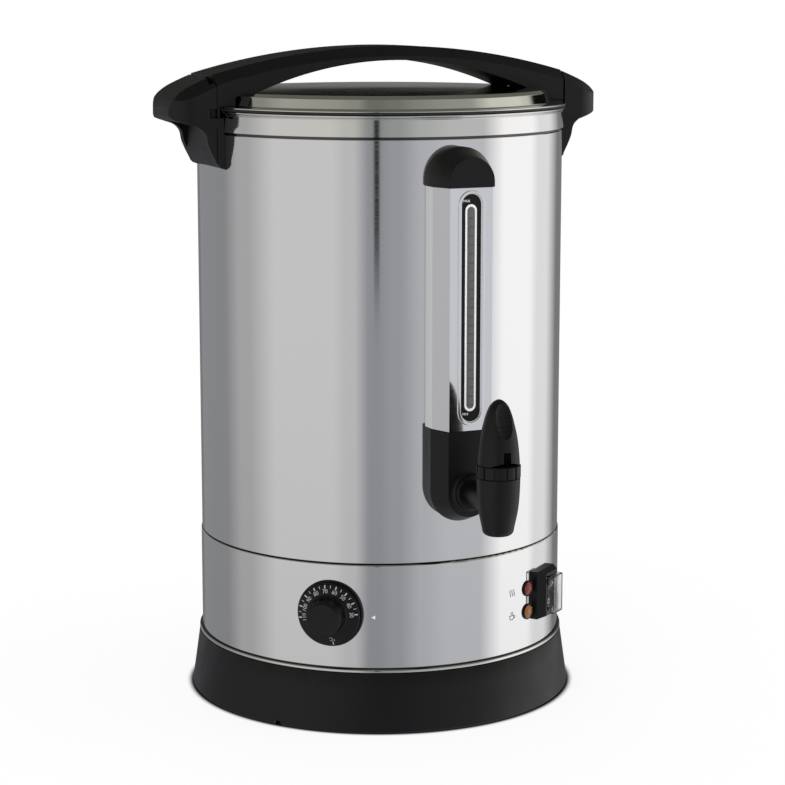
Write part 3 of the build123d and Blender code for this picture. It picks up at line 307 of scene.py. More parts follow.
def add_floor():
    """Pale floor that keeps a soft shadow round the urn, with a painted shadow under the base, and is plain
    white further out.
    """
    mesh = bpy.data.meshes.new("floor")
    corners = [(x * FLOOR_HALF, y * FLOOR_HALF, 0) for x, y in ((-1, -1), (1, -1), (1, 1), (-1, 1))]
    mesh.from_pydata(corners, [], [(0, 1, 2, 3)])
    floor = add_object("floor", mesh)
    material = bpy.data.materials.new("floor")
    material.use_nodes = True
    sh = Shader(material.node_tree)
    material.node_tree.nodes.clear()
    ray = sh.node("ShaderNodeLightPath").outputs
    reach = sh.node("ShaderNodeVectorMath", operation="LENGTH", inputs={0: sh.place()}).outputs["Value"]
    # painted shadow: the floor's colour is nearly black under the base and just round it
    matte = sh.out("ShaderNodeBsdfDiffuse", inputs={"Color": sh.span(reach, *FLOOR_SHADOW_EDGE, *FLOOR_SHADOW_AND_PALE)})
    white = sh.out("ShaderNodeEmission", inputs={"Color": WHITE, "Strength": 1.0})
    rising = sh.span(reach, *FLOOR_CLEAR, FLOOR_WHITE, 1.0)
    share = sh.product(ray["Is Camera Ray"], rising, sh.span(reach, *FLOOR_SHADOW_EDGE))
    sh.node("ShaderNodeOutputMaterial", inputs={0: sh.blend(share, matte, white)})
    mesh.materials.append(material)
    floor.visible_glossy = False


# ---- materials ----
def new_material(name, colour, roughness, metallic=0.0, **sockets):
    """Material with one Principled shader, and the shader helper for its tree."""
    material = bpy.data.materials.new(name)
    material.use_nodes = True
    sh = Shader(material.node_tree)
    sh.look(Base_Color=(*colour, 1), Roughness=roughness, Metallic=metallic, **sockets)
    return material, sh


SEAM_SHADE_BANDS = [  # low and high of the bands of painted shade in the grooves and joints round the vessel, metres
    (0.0471, 0.0478),
    (0.1258, 0.1268),
    (0.4356, 0.4372),
    (0.4526, 0.4548),
]
SEAM_SOFT = 0.0003
# colour of the painted shade in those grooves and joints
SEAM_SHADE_COLOUR = (0.1, 0.1, 0.1, 1)
STEEL = (0.86, 0.855, 0.845, 1)
BRIGHT_STEEL = (1.0, 0.995, 1.0, 1)
BRIGHT_NODE = "gauge_cover"
TURNED_LINES = (14, 14, 900)  # lines of the polish per metre: round the vessel, and up or outwards
LINE_HEIGHT = 0.0000006  # metres
SHEET_WAVES = (9, 9, 1.5)  # waves in the sheet per metre
WAVE_HEIGHT = 0.0004  # metres


def polished_steel(name, steel):
    """Stainless sheet polished on a lathe: fine lines round the axis, a slight wave, painted shade in the
    grooves and joints.
    """
    material, sh = new_material(name, steel[:3], 0.08, 1.0)
    place = sh.place()
    x, y, z = sh.split(place)
    radius = sh.math("SQRT", sh.math("ADD", sh.math("MULTIPLY", x, x), sh.math("MULTIPLY", y, y)))
    along = sh.math("ADD", radius, z)
    turned = sh.out("ShaderNodeCombineXYZ", inputs={0: x, 1: y, 2: along})
    lines = sh.noise(sh.scaled(turned, TURNED_LINES), 1.0, detail=3.0, roughness=0.6)
    # painted shade: the base colour turns dark in narrow bands at the heights of the grooves and joints
    seam_shade = 0.0
    for low, high in SEAM_SHADE_BANDS:
        in_seam_shade = sh.product(sh.span(z, low - SEAM_SOFT, low), sh.span(z, high + SEAM_SOFT, high))
        seam_shade = sh.math("MAXIMUM", seam_shade, in_seam_shade)
    sh.look(Base_Color=sh.mix(seam_shade, steel, SEAM_SHADE_COLOUR))
    clouds = sh.noise(place, 14.0)
    sh.look(Roughness=sh.math("ADD", sh.vary(lines, 0.04, 0.08), sh.vary(clouds, 0.0, 0.03)))
    wave = sh.noise(sh.scaled(place, SHEET_WAVES), 1.0, detail=1.0)
    sh.look(Normal=sh.bump(wave, WAVE_HEIGHT, strength=0.5, below=sh.bump(lines, LINE_HEIGHT)))
    return material


def moulded_black(name, colour=(0.0034, 0.0034, 0.0042), roughness=0.37, grain=0.35):
    """Black moulded plastic: fine grain, slightly uneven gloss."""
    material, sh = new_material(name, colour, roughness, Specular_IOR_Level=0.33)
    place = sh.place()
    fine = sh.noise(place, 1600.0)
    cloud = sh.noise(place, 30.0, detail=3.0)
    sh.look(Roughness=sh.vary(cloud, roughness - 0.04, roughness + 0.05))
    sh.look(Base_Color=sh.tone(cloud, colour, (0.3, 0.9), (0.7, 1.15)))
    sh.look(Normal=sh.bump(fine, 0.00004, grain))
    return material


def silicone(name, colour, roughness=0.55):
    """Moulded silicone rubber."""
    material, sh = new_material(name, colour, roughness, Subsurface_Weight=0.1, Subsurface_Scale=0.002)
    cloud = sh.noise(sh.place(), 120.0, detail=3.0)
    sh.look(Roughness=sh.vary(cloud, roughness - 0.08, roughness + 0.08))
    sh.look(Normal=sh.bump(cloud, 0.0001, 0.3))
    return material


def drawn_metal(name, colour, roughness=0.25, lines=(400, 400, 60)):
    """Plain metal with fine drawing or turning marks."""
    material, sh = new_material(name, colour, roughness, 1.0)
    marks = sh.noise(sh.scaled(sh.place(), lines), 1.0, detail=4.0, roughness=0.6)
    sh.look(Roughness=sh.vary(marks, roughness - 0.07, roughness + 0.1))
    sh.look(Normal=sh.bump(marks, 0.00003, 0.4))
    return material


def clear(name, colour, roughness=0.03, ior=1.47):
    """Clear glass or plastic, faintly uneven."""
    material, sh = new_material(name, colour, roughness, Transmission_Weight=1.0, IOR=ior)
    cloud = sh.noise(sh.place(), 60.0)
    sh.look(Roughness=sh.vary(cloud, roughness, roughness + 0.05))
    return material


def lamp_lens(name, colour):
    """Transparent coloured lens of an indicator lamp, with fine facets moulded into its back."""
    material, sh = new_material(name, colour, 0.12, Transmission_Weight=0.35, IOR=1.49, Coat_Weight=0.6)
    cells = sh.out("ShaderNodeTexVoronoi", inputs={"Vector": sh.place(), "Scale": 900.0})
    sh.look(Normal=sh.bump(cells, 0.0002, 0.3))
    sh.look(Base_Color=sh.tone(cells, colour, (0.0, 1.3), (0.6, 0.7)))
    return material


def ink(name, colour, roughness=0.45):
    """Printed ink: flat colour with slightly uneven cover."""
    material, sh = new_material(name, colour, roughness)
    cover = sh.noise(sh.place(), 900.0)
    sh.look(Base_Color=sh.tone(cover, colour, (0.3, 0.93), (0.6, 1.0)))
    return material


def smoked_plastic(name, colour):
    """Grey translucent plastic."""
    material, sh = new_material(name, colour, 0.2, Transmission_Weight=0.3, IOR=1.45)
    cloud = sh.noise(sh.scaled(sh.place(), (200, 200, 30)), 1.0)
    sh.look(Base_Color=sh.tone(cloud, colour, (0.3, 0.92), (0.7, 1.08)))
    return material


LOOKS = {  # for every slot of the record and every printed mark: its kind and values
    "polished_steel": (polished_steel, STEEL),
    "bright_steel": (polished_steel, BRIGHT_STEEL),
    "black_plastic": (moulded_black,),
    "black_silicone": (silicone, (0.02, 0.02, 0.02)),
    "white_silicone": (silicone, (0.72, 0.72, 0.7)),
    "clear_glass": (clear, (0.95, 0.97, 0.97)),
    "clear_plastic": (clear, (0.93, 0.94, 0.94), 0.06, 1.4),
    "red_lens": (lamp_lens, (0.32, 0.03, 0.02)),
    "amber_lens": (lamp_lens, (0.5, 0.17, 0.03)),
    "aluminium": (drawn_metal, (0.8, 0.8, 0.81)),
    "brass": (drawn_metal, (0.72, 0.68, 0.6)),
    "zinc_steel": (drawn_metal, (0.62, 0.63, 0.65), 0.3),
    "stainless_rod": (drawn_metal, (0.68, 0.67, 0.66), 0.2),
    "element_sheath": (drawn_metal, (0.36, 0.32, 0.28), 0.4),
    "copper": (drawn_metal, (0.83, 0.5, 0.33), 0.3),
    "ceramic": (silicone, (0.82, 0.79, 0.72), 0.35),
    "clear_vent": (silicone, (0.6, 0.6, 0.56), 0.5),
    "white_ink": (ink, (0.85, 0.85, 0.85)),
    "grey_ink": (ink, (0.42, 0.42, 0.43)),
    "dark_ink": (ink, (0.03, 0.03, 0.035)),
    "smoked_window": (smoked_plastic, (0.15, 0.15, 0.16)),
}
MATERIALS = {name: make(name, *values) for name, (make, *values) in LOOKS.items()}

EDGE_WIDTH = {  # rounding of the moulded and pressed edges, mm
    "base_ring": 0.6,
    "dial_bezel": 0.25,
    "thermostat_knob": 0.35,
    "switch_body": 0.35,
    "switch_rocker": 0.3,
    "switch_cover": 0.3,
    "gauge_cover": 0.3,
    "lamp_bezels": 0.15,
    "power_inlet": 0.3,
    "scale_plate": 0.1,
    "foot_pads": 0.3,
}
EDGE_ANGLE = radians(24)
WELD_GAP = 0.002  # mm


def round_edges(piece, width):
    """Small rounded edges on a piece, with smooth shading across them."""
    piece.modifiers.new("weld", "WELD").merge_threshold = WELD_GAP * MM
    bevel = piece.modifiers.new("edges", "BEVEL")
    bevel.width = width * MM
    bevel.segments = 2
    bevel.limit_method = "ANGLE"
    bevel.angle_limit = EDGE_ANGLE
    bevel.harden_normals = True
    bevel.use_clamp_overlap = True


def dress_nodes():
    """Gives each CAD node the material of its slot, and rounded edges where it shows."""
    for name, node in NODES.items():
        look = "bright_steel" if name == BRIGHT_NODE else SLOT_OF[name]
        node.data.materials.clear()
        node.data.materials.append(MATERIALS[look])
        if name in EDGE_WIDTH:
            round_edges(node, EDGE_WIDTH[name])


# ---- forms ----
# Drawn in millimetres, with the vessel's axis at the origin and the tap towards -Y.
SMOOTH_ANGLE = radians(28)
JOIN_GAP = 0.0005  # points nearer than this become one
BEYOND = 20  # how far a cutting form stands past what it cuts
PAST = 1  # the same, where little room is needed
TOUCH = 0.01  # how far a cut starts outside a face that it would otherwise share
ALONG = {  # where the two outline axes and the height go
    "X": lambda a, b, h: (h, a, b),
    "Y": lambda a, b, h: (a, h, b),
    "Z": lambda a, b, h: (a, b, h),
}


def arc(x, z, radius, start, end, steps=8, height=None):
    """Points of an arc between two angles in degrees; an oval where a height is given."""
    tall = radius if height is None else height
    turns = [radians(start + (end - start) * i / steps) for i in range(steps + 1)]
    return [(x + radius * cos(t), z + tall * sin(t)) for t in turns]


def through(points, start, end, steps=8):
    """Smooth curve through points, with given directions at its two ends."""
    spots = [Vector(p) for p in points]
    ways = [Vector(start).normalized()]
    ways += [(after - before).normalized() for before, after in zip(spots, spots[2:])]
    ways.append(Vector(end).normalized())
    curve = []
    for a, b, way_a, way_b in zip(spots, spots[1:], ways, ways[1:]):
        reach = (b - a).length
        for i in range(steps):
            t = i / steps
            curve.append(
                (2 * t ** 3 - 3 * t ** 2 + 1) * a + (t ** 3 - 2 * t ** 2 + t) * reach * way_a
                + (3 * t ** 2 - 2 * t ** 3) * b + (t ** 3 - t ** 2) * reach * way_b
            )
    return [tuple(p) for p in curve + [spots[-1]]]


def solid(points, faces):
    """Closed mesh as an object of the scene."""
    shape = bmesh.new()
    corners = [shape.verts.new(p) for p in points]
    for face in faces:
        shape.faces.new([corners[i] for i in face])
    bmesh.ops.remove_doubles(shape, verts=shape.verts[:], dist=JOIN_GAP)
    bmesh.ops.recalc_face_normals(shape, faces=shape.faces[:])
    mesh = bpy.data.meshes.new("form")
    shape.to_mesh(mesh)
    shape.free()
    return add_object("form", mesh)


def skin(rings, closed=False):
    """Solid over a row of rings with equal numbers of points, with end caps unless the row is closed."""
    count = len(rings[0])
    points = [p for ring in rings for p in ring]
    faces = []
    for i in range(len(rings) - (0 if closed else 1)):
        j = (i + 1) % len(rings)
        for k in range(count):
            m = (k + 1) % count
            faces.append((i * count + k, j * count + k, j * count + m, i * count + m))
    if not closed:
        faces.append(tuple(range(count)))
        faces.append(tuple(range(len(points) - count, len(points))))
    return solid(points, faces)


def lathe(outline, steps=192, centre=(0, 0), axis="Z"):
    """Closed outline of (radius, height) points turned about an axis."""
    rings = []
    for i in range(steps):
        t = 2 * pi * i / steps
        rings.append([ALONG[axis](centre[0] + r * cos(t), centre[1] + r * sin(t), h) for r, h in outline])
    return skin(rings, closed=True)


def prism(outline, low, high, axis="Z"):
    """Outline drawn across an axis, between two places along it."""
    return skin([[ALONG[axis](a, b, h) for a, b in outline] for h in (low, high)])


def block(x, y, z):
    """Box by its low and high limits."""
    return prism([(x[0], y[0]), (x[1], y[0]), (x[1], y[1]), (x[0], y[1])], *z)


def combine(base, tool, operation="DIFFERENCE"):
    """Cuts a form with another, joins them or keeps what they share; it changes and the tool is used up."""
    step = base.modifiers.new("combine", "BOOLEAN")
    step.operation = operation
    step.solver = "EXACT"
    step.object = tool
    bpy.context.view_layer.update()
    result = bpy.data.meshes.new_from_object(base.evaluated_get(bpy.context.evaluated_depsgraph_get()))
    base.modifiers.clear()
    base.data = result
    bpy.data.objects.remove(tool)
    return base


def cut(piece, *tools):
    """Cuts a form with several others, one after another."""
    for tool in tools:
        combine(piece, tool)
    return piece


def place_form(piece, name, node, edge=0.0):
    """Puts a form in place of a CAD node: metres, smooth shading, rounded edges, material and body."""
    piece.name = name
    piece.data.name = name
    piece.data.transform(Matrix.Scale(MM, 4))
    piece.data.materials.clear()
    piece.data.materials.append(NODES[node].data.materials[0])
    piece.data.shade_smooth()
    piece.data.set_sharp_from_angle(angle=SMOOTH_ANGLE)
    if edge:
        round_edges(piece, edge)
    piece.modifiers.new("even", "WEIGHTED_NORMAL").keep_sharp = True
    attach(piece, BODY_OF[node])
    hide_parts(node)


BODY_R = 140.0
COLUMN_HALF, COLUMN_FRONT_HALF = 22.7, 16.75
COLUMN_KNEE, COLUMN_FRONT = 149.7, 166.5
END_OVER = 1.4  # how far the plastic ends stand proud of the cover
END_WALL = 2.4
END_BACK = 125.0  # depth at which the ends' taper is measured
KNEE_SHARE, FRONT_SHARE = 0.4, 0.7  # shares of a skin's growth by which its knee and its front move
WALL_SINK = 0.3  # how far the ends reach into the vessel's wall
WALL_ROUNDS = 4  # rounds in which width and depth at the wall are found together
END_EDGE = 0.4
COLUMN_ENDS = [  # piece, node, taper, height of the joint and of the centre of the turn
    ("gauge_cap_shell", "gauge_cap", 0.2, 403.1, 406.7),
    ("tap_housing_shell", "tap_housing", 4.8, 228.3, 182.9),
]


def end_skin(grow, taper, joint, centre):
    """Rows along a column end, from the joint round to the joint: points at the wall, knee and front."""
    way = 1 if centre > joint else -1
    half, knee = COLUMN_HALF + grow, COLUMN_KNEE + grow * KNEE_SHARE
    front_half, front = COLUMN_FRONT_HALF + grow * FRONT_SHARE, COLUMN_FRONT + grow * FRONT_SHARE
    path = [(1, 0, joint)] + [(*p, centre) for p in arc(0, 0, 1, 0, 180, 48)] + [(-1, 0, joint)]
    rows = []
    for across, up, z in path:
        wall = half
        for _ in range(WALL_ROUNDS):
            depth = sqrt((BODY_R - WALL_SINK) ** 2 - (wall * across) ** 2)
            wall = half - taper * (knee - depth) / (knee - END_BACK)
        row = ((wall, depth), (half, knee), (front_half, front))
        rows.append([(w * across, -d, z + way * w * up) for w, d in row])
    return rows


def column_end(taper, joint, centre):
    """Hollow plastic end of the gauge column, straight from the joint and then turned about a centre."""
    outer = end_skin(END_OVER, taper, joint, centre)
    inner = end_skin(END_OVER - END_WALL, taper, joint, centre)
    count = len(outer)
    points = [p for rows in (outer, inner) for row in rows for p in row]
    faces = []
    # The sides and the flat front of each skin; a row has three points.
    for start in (0, 3 * count):
        for i in range(count - 1):
            for k in (0, 1):
                a = start + 3 * i + k
                faces.append((a, a + 3, a + 4, a + 1))
        faces.append(tuple(start + 3 * i + 2 for i in range(count)))
    # The edge along the wall.
    for i in range(count - 1):
        faces.append((3 * i, 3 * i + 3, 3 * (count + i + 1), 3 * (count + i)))
    # The edge at the joint.
    last = 3 * (count - 1)
    rim = [0, 1, 2, last + 2, last + 1, last]
    for a, b in zip(rim, rim[1:]):
        faces.append((a, b, b + 3 * count, a + 3 * count))
    return solid(points, faces)


def gauge_ends():
    """Cap and tap housing at the two ends of the gauge column."""
    for name, node, taper, joint, centre in COLUMN_ENDS:
        place_form(column_end(taper, joint, centre), name, node, END_EDGE)


TAP_N = 213.0  # distance of the tap's axis from the vessel's axis
SHANK_Z, SHANK_R, WATERWAY_R = 184.0, 8.0, 5.5
SHANK_START = 122  # distance of its inner end from the vessel's axis
BOSS_R, BOSS_FLARE, BOSS_END, BOSS_ROUND = 12.8, 2.7, 173.0, 1.4
BARREL_R = 9.0
BARREL_SINK = 1.2  # how far it reaches into the cup's wall
CUP_Z, CUP_R, CUP_FOOT_R, CUP_CORNER = (162.0, 204.0), 15.7, 11.3, 4.5
CUP_RIM_IN = 0.2
CUP_BELLY = (14.4, 183.0)
CUP_WAYS = ((0.2, 1), (0.03, 1))  # directions of the cup's side at its foot and its rim
CHAMBER_R, SEAT_Z, OUTLET_R = 12.2, 172.0, 5.0
JOINT_BEVEL = 0.5
BONNET_TOP, BONNET_LID, BONNET_BORE_R = 213.0, 4, 8.5
GROOVES, GROOVE_START, GROOVE_WIDE, GROOVE_DEEP = 12, 26, 1.7, 0.9
GROOVE_FLOOR = 0.9  # width of a groove's floor as a share of its mouth
STEM_R, STEM_GAP = 2.5, 0.1


def tap_cup():
    """Tapered cup with its outlet, on a barrel and a flared boss."""
    low, high = CUP_Z
    rim = CUP_R - CUP_RIM_IN
    outline = [(OUTLET_R, low)] + arc(CUP_FOOT_R - CUP_CORNER, low + CUP_CORNER, CUP_CORNER, -90, 0)
    outline += through([outline[-1], CUP_BELLY, (rim, high - JOINT_BEVEL)], *CUP_WAYS, 12)[1:]
    outline += [(rim - JOINT_BEVEL, high), (CHAMBER_R, high), (CHAMBER_R, SEAT_Z), (OUTLET_R, SEAT_Z)]
    cup = lathe(outline, 96, (0, -TAP_N))
    start = COLUMN_FRONT + END_OVER * FRONT_SHARE
    boss = [(WATERWAY_R, SHANK_START), (SHANK_R, SHANK_START), (SHANK_R, start)]
    boss += arc(BOSS_R + BOSS_FLARE, start + BOSS_FLARE, BOSS_FLARE, -90, -180)
    boss += arc(BOSS_R - BOSS_ROUND, BOSS_END - BOSS_ROUND, BOSS_ROUND, 0, 90)
    barrel_end = TAP_N - (CHAMBER_R + rim) / 2 + BARREL_SINK
    boss += [(BARREL_R, BOSS_END), (BARREL_R, barrel_end), (WATERWAY_R, barrel_end)]
    stem = lathe([(r, -n) for r, n in boss], 72, (0, SHANK_Z), "Y")
    place_form(combine(cup, stem, "UNION"), "tap_moulding", "tap_body")


def notched(radius, shrink=0.0, steps=7):
    """Outline of the bonnet: a circle with grooves, drawn in by a bevel."""
    points = []
    outside = radius - shrink
    floor = radius - max(GROOVE_DEEP, shrink)
    half = GROOVE_WIDE / 2 / radius
    for i in range(GROOVES):
        middle = radians(GROOVE_START) + 2 * pi * i / GROOVES
        following = middle + 2 * pi / GROOVES
        ridge = following - middle - 2 * half
        spots = [(outside, middle - half)]
        spots += [(floor, middle - half * GROOVE_FLOOR), (floor, middle + half * GROOVE_FLOOR)]
        spots += [(outside, middle + half + ridge * k / steps) for k in range(steps)]
        points += [(r * cos(t), r * sin(t)) for r, t in spots]
    return points


def tap_bonnet():
    """Grooved collar on the cup."""
    low, high = CUP_Z[1], BONNET_TOP
    levels = ((low, JOINT_BEVEL), (low + JOINT_BEVEL, 0), (high - JOINT_BEVEL, 0), (high, JOINT_BEVEL))
    ring = skin([[(x, y - TAP_N, z) for x, y in notched(CUP_R, shrink)] for z, shrink in levels])
    way_r = STEM_R + STEM_GAP
    bore = [(0, low - PAST), (BONNET_BORE_R, low - PAST), (BONNET_BORE_R, high - BONNET_LID)]
    bore += [(way_r, high - BONNET_LID), (way_r, high + PAST), (0, high + PAST)]
    place_form(combine(ring, lathe(bore, 48, (0, -TAP_N))), "tap_collar", "tap_bonnet")


LEVER_Z, LEVER_R = (213.3, 259.2), 15.0
LEVER_SIDE = [(13.4, 230.3), (11.3, 240.5), (8.6, 250.0), (5.3, 256.1)]
LEVER_WAYS = ((-0.04, 1), (-1, 0))  # directions of the lever's side at its foot and its tip
LEVER_EDGE = 0.25
LEVER_SLOT = (-2.75, 2.75)
SLOT_BEHIND, SLOT_OVER = 4.2, 5.4  # how far the slot goes behind the tap's axis and over the pin
PIN_Z = 218.0
LEVER_SWING = radians(30)
HEEL_START = 10  # how far in front of the tap's axis the heel's cut begins
SCOOP = (6.8, 13.0, 2.4)  # half axes of the thumb recess: across, along, into the lever
SCOOP_PLACE = (0, -8.95 - TAP_N, 245.0)
SCOOP_TILT = radians(18.6)
RIDGES = (-6.4, -3.2, 0.1, 3.4)  # along the recess
RIDGE_ACROSS, RIDGE_HALF, RIDGE_HEIGHT = (-6, 6), 0.45, 0.6


def on_scoop(piece):
    """Moves a form drawn at the origin to the lever's thumb recess."""
    piece.data.transform(Matrix.Translation(SCOOP_PLACE) @ Matrix.Rotation(pi / 2 - SCOOP_TILT, 4, "X"))
    return piece


def scoop_oval(lift=0.0):
    """Oval hollow of the thumb recess, or the same raised by the height of the ridges."""
    oval = lathe(arc(0, 0, 1, -90, 90, 24) + [(0, 0)], 48)
    oval.data.transform(Matrix.Translation((0, 0, lift)) @ Matrix.Diagonal((*SCOOP, 1)))
    return oval


def tap_lever():
    """Bullet-shaped lever with a ridged thumb recess, a slot for the stem and the heel's cut."""
    low, tip = LEVER_Z
    side = through([(LEVER_R, low), *LEVER_SIDE, (0, tip)], *LEVER_WAYS, 8)
    lever = lathe([(0, low), *side], 96, (0, -TAP_N))
    cut(lever, on_scoop(scoop_oval()))
    for along in RIDGES:
        bar = block(RIDGE_ACROSS, (along - RIDGE_HALF, along + RIDGE_HALF), (-2 * SCOOP[2], 0))
        combine(bar, scoop_oval(), "INTERSECT")
        cut(bar, scoop_oval(RIDGE_HEIGHT))
        combine(lever, on_scoop(bar), "UNION")
    front = -TAP_N - BEYOND
    slot = block(LEVER_SLOT, (front, -TAP_N + SLOT_BEHIND), (low - PAST, PIN_Z + SLOT_OVER))
    rise = (BEYOND - HEEL_START) * tan(LEVER_SWING)
    heel = [(-TAP_N - HEEL_START, low - TOUCH), (front, low - TOUCH), (front, low + rise)]
    cut(lever, slot, prism(heel, -BEYOND, BEYOND, "X"))
    place_form(lever, "tap_handle", "tap_lever", LEVER_EDGE)


FLOOR_Z, NECK_R, SEAM_Z, FLOOR_CORNER = 118.0, 138.2, 126.3, 6
SHEET = 0.8
SEAM_EDGE = 0.4
GROOVE_Z, GROOVE_R = (435.7, 437.2), 139.3
GROOVE_LIP = (0.25, 0.9)  # in and down, the rounding of the wall's edge under the groove
BAND_R, BAND_TOP_R, BAND_EDGE = 141.2, 140.5, 0.3
BEAD_Z, BEAD_R, BEAD_OUT, RIM_NECK_R = 450.2, 0.6, 0.1, 141.0
INNER_GROOVE = (1.2, 0.6, -0.6, -1.4)  # the groove's corners inside, over its top and its foot
INNER_SEAM = (1.6, 0.8)  # the neck's corners inside, over the seam
RIM_Z, RIM_H, RIM_R = 452.1, 2.1, 142.5
GASKET_H = 1.25
FLANGE_Z = RIM_Z + RIM_H / 2 + GASKET_H
FLANGE_R, FLANGE_H, FLANGE_TURN = 143.4, 1.6, 3.0
FLANGE_ROUND = FLANGE_H / 2 - 0.1
FLANGE_TOP = FLANGE_Z + FLANGE_H
STEP_R, STEP_ROUND, LID_TOP, LID_CHAMFER, LID_DOME = 130.6, 1.0, 465.8, 2.3, 0.8
SLOPE = [  # in from the step and height, of the slope's foot and top
    (1.9, LID_TOP - LID_CHAMFER),
    (5.0, LID_TOP),
]
SLOPE_UNDER = [  # the same corners from above and the step's foot, under the sheet
    (5.3, LID_TOP - SHEET),
    (2.7, LID_TOP - LID_CHAMFER - 0.3),
    (0.9, FLANGE_TOP - SHEET),
]
CROWN_RADII = (110, 90, 60, 30, 0)
LID_EDGE = 0.25
# Radius and depth below the flange of the lip's corners.
GASKET_LIP = [(134.5, 0.6), (136.4, 0.6), (136.4, 8.6), (137.4, 9.6), (139.2, 6.6)]
GASKET_OUT = 0.2  # in from the rim's edge
GASKET_GAPS = (0.02, 0.05)  # under the flange, and at the flange's turn and on the rim


def pot():
    """Drawn vessel: neck in the lower shell, groove, band, small bead and rolled rim."""
    roll, corner = RIM_H / 2, FLOOR_CORNER
    foot, top = GROOVE_Z
    lip_in, lip_down = GROOVE_LIP
    wall_in, groove_in, band_in, top_in = [r - SHEET for r in (BODY_R, GROOVE_R, BAND_R, BAND_TOP_R)]
    outline = [(0, FLOOR_Z)] + arc(NECK_R - corner, FLOOR_Z + corner, corner, -90, 0)
    outline += [(NECK_R, SEAM_Z), (BODY_R - SEAM_EDGE, SEAM_Z), (BODY_R, SEAM_Z + SEAM_EDGE)]
    outline += [(BODY_R, foot - lip_down), (BODY_R - lip_in, foot - lip_in), (GROOVE_R, foot)]
    outline += [(GROOVE_R, top), (BAND_R, top + BAND_EDGE), (BAND_TOP_R, BEAD_Z - BEAD_R)]
    outline += arc(RIM_NECK_R + BEAD_OUT, BEAD_Z, BEAD_R, -80, 80, 6)
    outline += [(RIM_NECK_R, RIM_Z - roll)] + arc(RIM_R - roll, RIM_Z, roll, -90, 90, 8)
    outline += arc(top_in + roll, RIM_Z, roll, 90, 180, 6)
    outline += [(top_in, BEAD_Z), (band_in, top + INNER_GROOVE[0]), (groove_in, top + INNER_GROOVE[1])]
    outline += [(groove_in, foot + INNER_GROOVE[2]), (wall_in, foot + INNER_GROOVE[3])]
    outline += [(wall_in, SEAM_Z + INNER_SEAM[0]), (NECK_R - SHEET, SEAM_Z + INNER_SEAM[1])]
    outline += arc(NECK_R - corner, FLOOR_Z + corner, corner - SHEET, 0, -90) + [(0, FLOOR_Z + SHEET)]
    place_form(lathe(outline, 256), "vessel_pot", "vessel")


def lid_cover():
    """Pressed lid: turned flange edge, step, slope and low crown."""
    turn_r = FLANGE_R - FLANGE_TURN
    outline = [(0, LID_TOP + LID_DOME - SHEET)] + [(STEP_R - inside, z) for inside, z in SLOPE_UNDER]
    outline += [(turn_r, FLANGE_TOP - SHEET), (turn_r, FLANGE_Z)]
    outline += arc(FLANGE_R - FLANGE_ROUND, FLANGE_Z + FLANGE_ROUND, FLANGE_ROUND, -90, 0, 5)
    outline += arc(FLANGE_R - FLANGE_ROUND, FLANGE_TOP - FLANGE_ROUND, FLANGE_ROUND, 0, 90, 5)
    outline += arc(STEP_R + STEP_ROUND, FLANGE_TOP + STEP_ROUND, STEP_ROUND, 270, 190, 5)
    outline += [(STEP_R - inside, z) for inside, z in SLOPE]
    outline += [(r, LID_TOP + LID_DOME * (1 - (r / (STEP_R - SLOPE[1][0])) ** 2)) for r in CROWN_RADII]
    place_form(lathe(outline, 256), "lid_cover", "lid_pan", LID_EDGE)


def gasket():
    """Silicone ring between the lid's flange and the rim, with a lip inside the vessel."""
    slack, clear_of = GASKET_GAPS
    top = FLANGE_TOP - SHEET - slack
    edge = FLANGE_Z - slack
    seat_r = FLANGE_R - FLANGE_TURN - clear_of
    rest = RIM_Z + RIM_H / 2 + clear_of
    outline = [(GASKET_LIP[0][0], top)] + [(r, FLANGE_Z - below) for r, below in GASKET_LIP]
    outline += [(GASKET_LIP[-1][0], rest), (RIM_R - GASKET_OUT, rest), (RIM_R - GASKET_OUT, edge)]
    outline += [(seat_r, edge), (seat_r, top)]
    place_form(lathe(outline, 192), "lid_seal", "lid_gasket")


# The side handles are drawn at the right-hand side, their outline as (x, height).
SIDE_HALF = 33.0
SIDE_TOP = [
    (138, 480.2), (149.5, 475.9), (160, 471.3), (165.5, 468.2), (170.3, 464.4), (173.7, 459.6),
    (175.3, 453.5),
]
SIDE_TOP_WAYS = ((1, -0.32), (0, -1))
SIDE_CORNER = [(175.3, 449.4), (172.9, 446.6), (169, 445.2)]
SIDE_CHEEK = [(158.5, 442.0), (151.5, 436.8), (149.1, 428), (144.8, 418.5), (140.3, 411.6)]
SIDE_CHEEK_WAYS = ((-1, -0.3), (-0.7, -0.6))
SIDE_BACK = [(136, 410), (136, 470)]
BEVEL_DROP, BEVEL_IN = 7.4, 9.0
PLAN_START, PLAN_X, PLAN_Y, PLAN_DEPTH = 130, 156.0, 12.0, 20.4
CHEEK, CORNER_WALL = 8.0, 4.0
RECESS = [
    (147.2, 400), (147.2, 449), (148, 452.2), (151, 456.4), (153.4, 457.5),
    (160.6, 457.5), (163, 456.2), (166.2, 451.2), (167, 449), (167, 400),
]
CHEEK_STEP = 1  # how much narrower each cheek is below the grip
CHEEK_STEP_X, CHEEK_STEP_Z = (142.4, 180), (405, 441.5)
JOINT_R, JOINT_GAP = 146.0, 0.5
LUG_Y, LUG_Z, LUG_R, LUG_WAY_Z = (-29.2, -17.5), (448.2, 454.2), 148.8, 447.8
LUG_TURN_WAY = ((120, 147.8), (27.2, SIDE_HALF + 2 * PAST), (LUG_WAY_Z, LUG_Z[1] + 0.4))
LUG_LIFT_WAY = ((120, 147.3), (17.1, 29.5), (LUG_WAY_Z - TOUCH, 490))
SIDE_Z = (400, 500)  # below and above all of a side handle
ROOM_Z = (380, 510)  # below and above the room kept free for the vessel and the lid
HANDLE_EDGE = 0.6


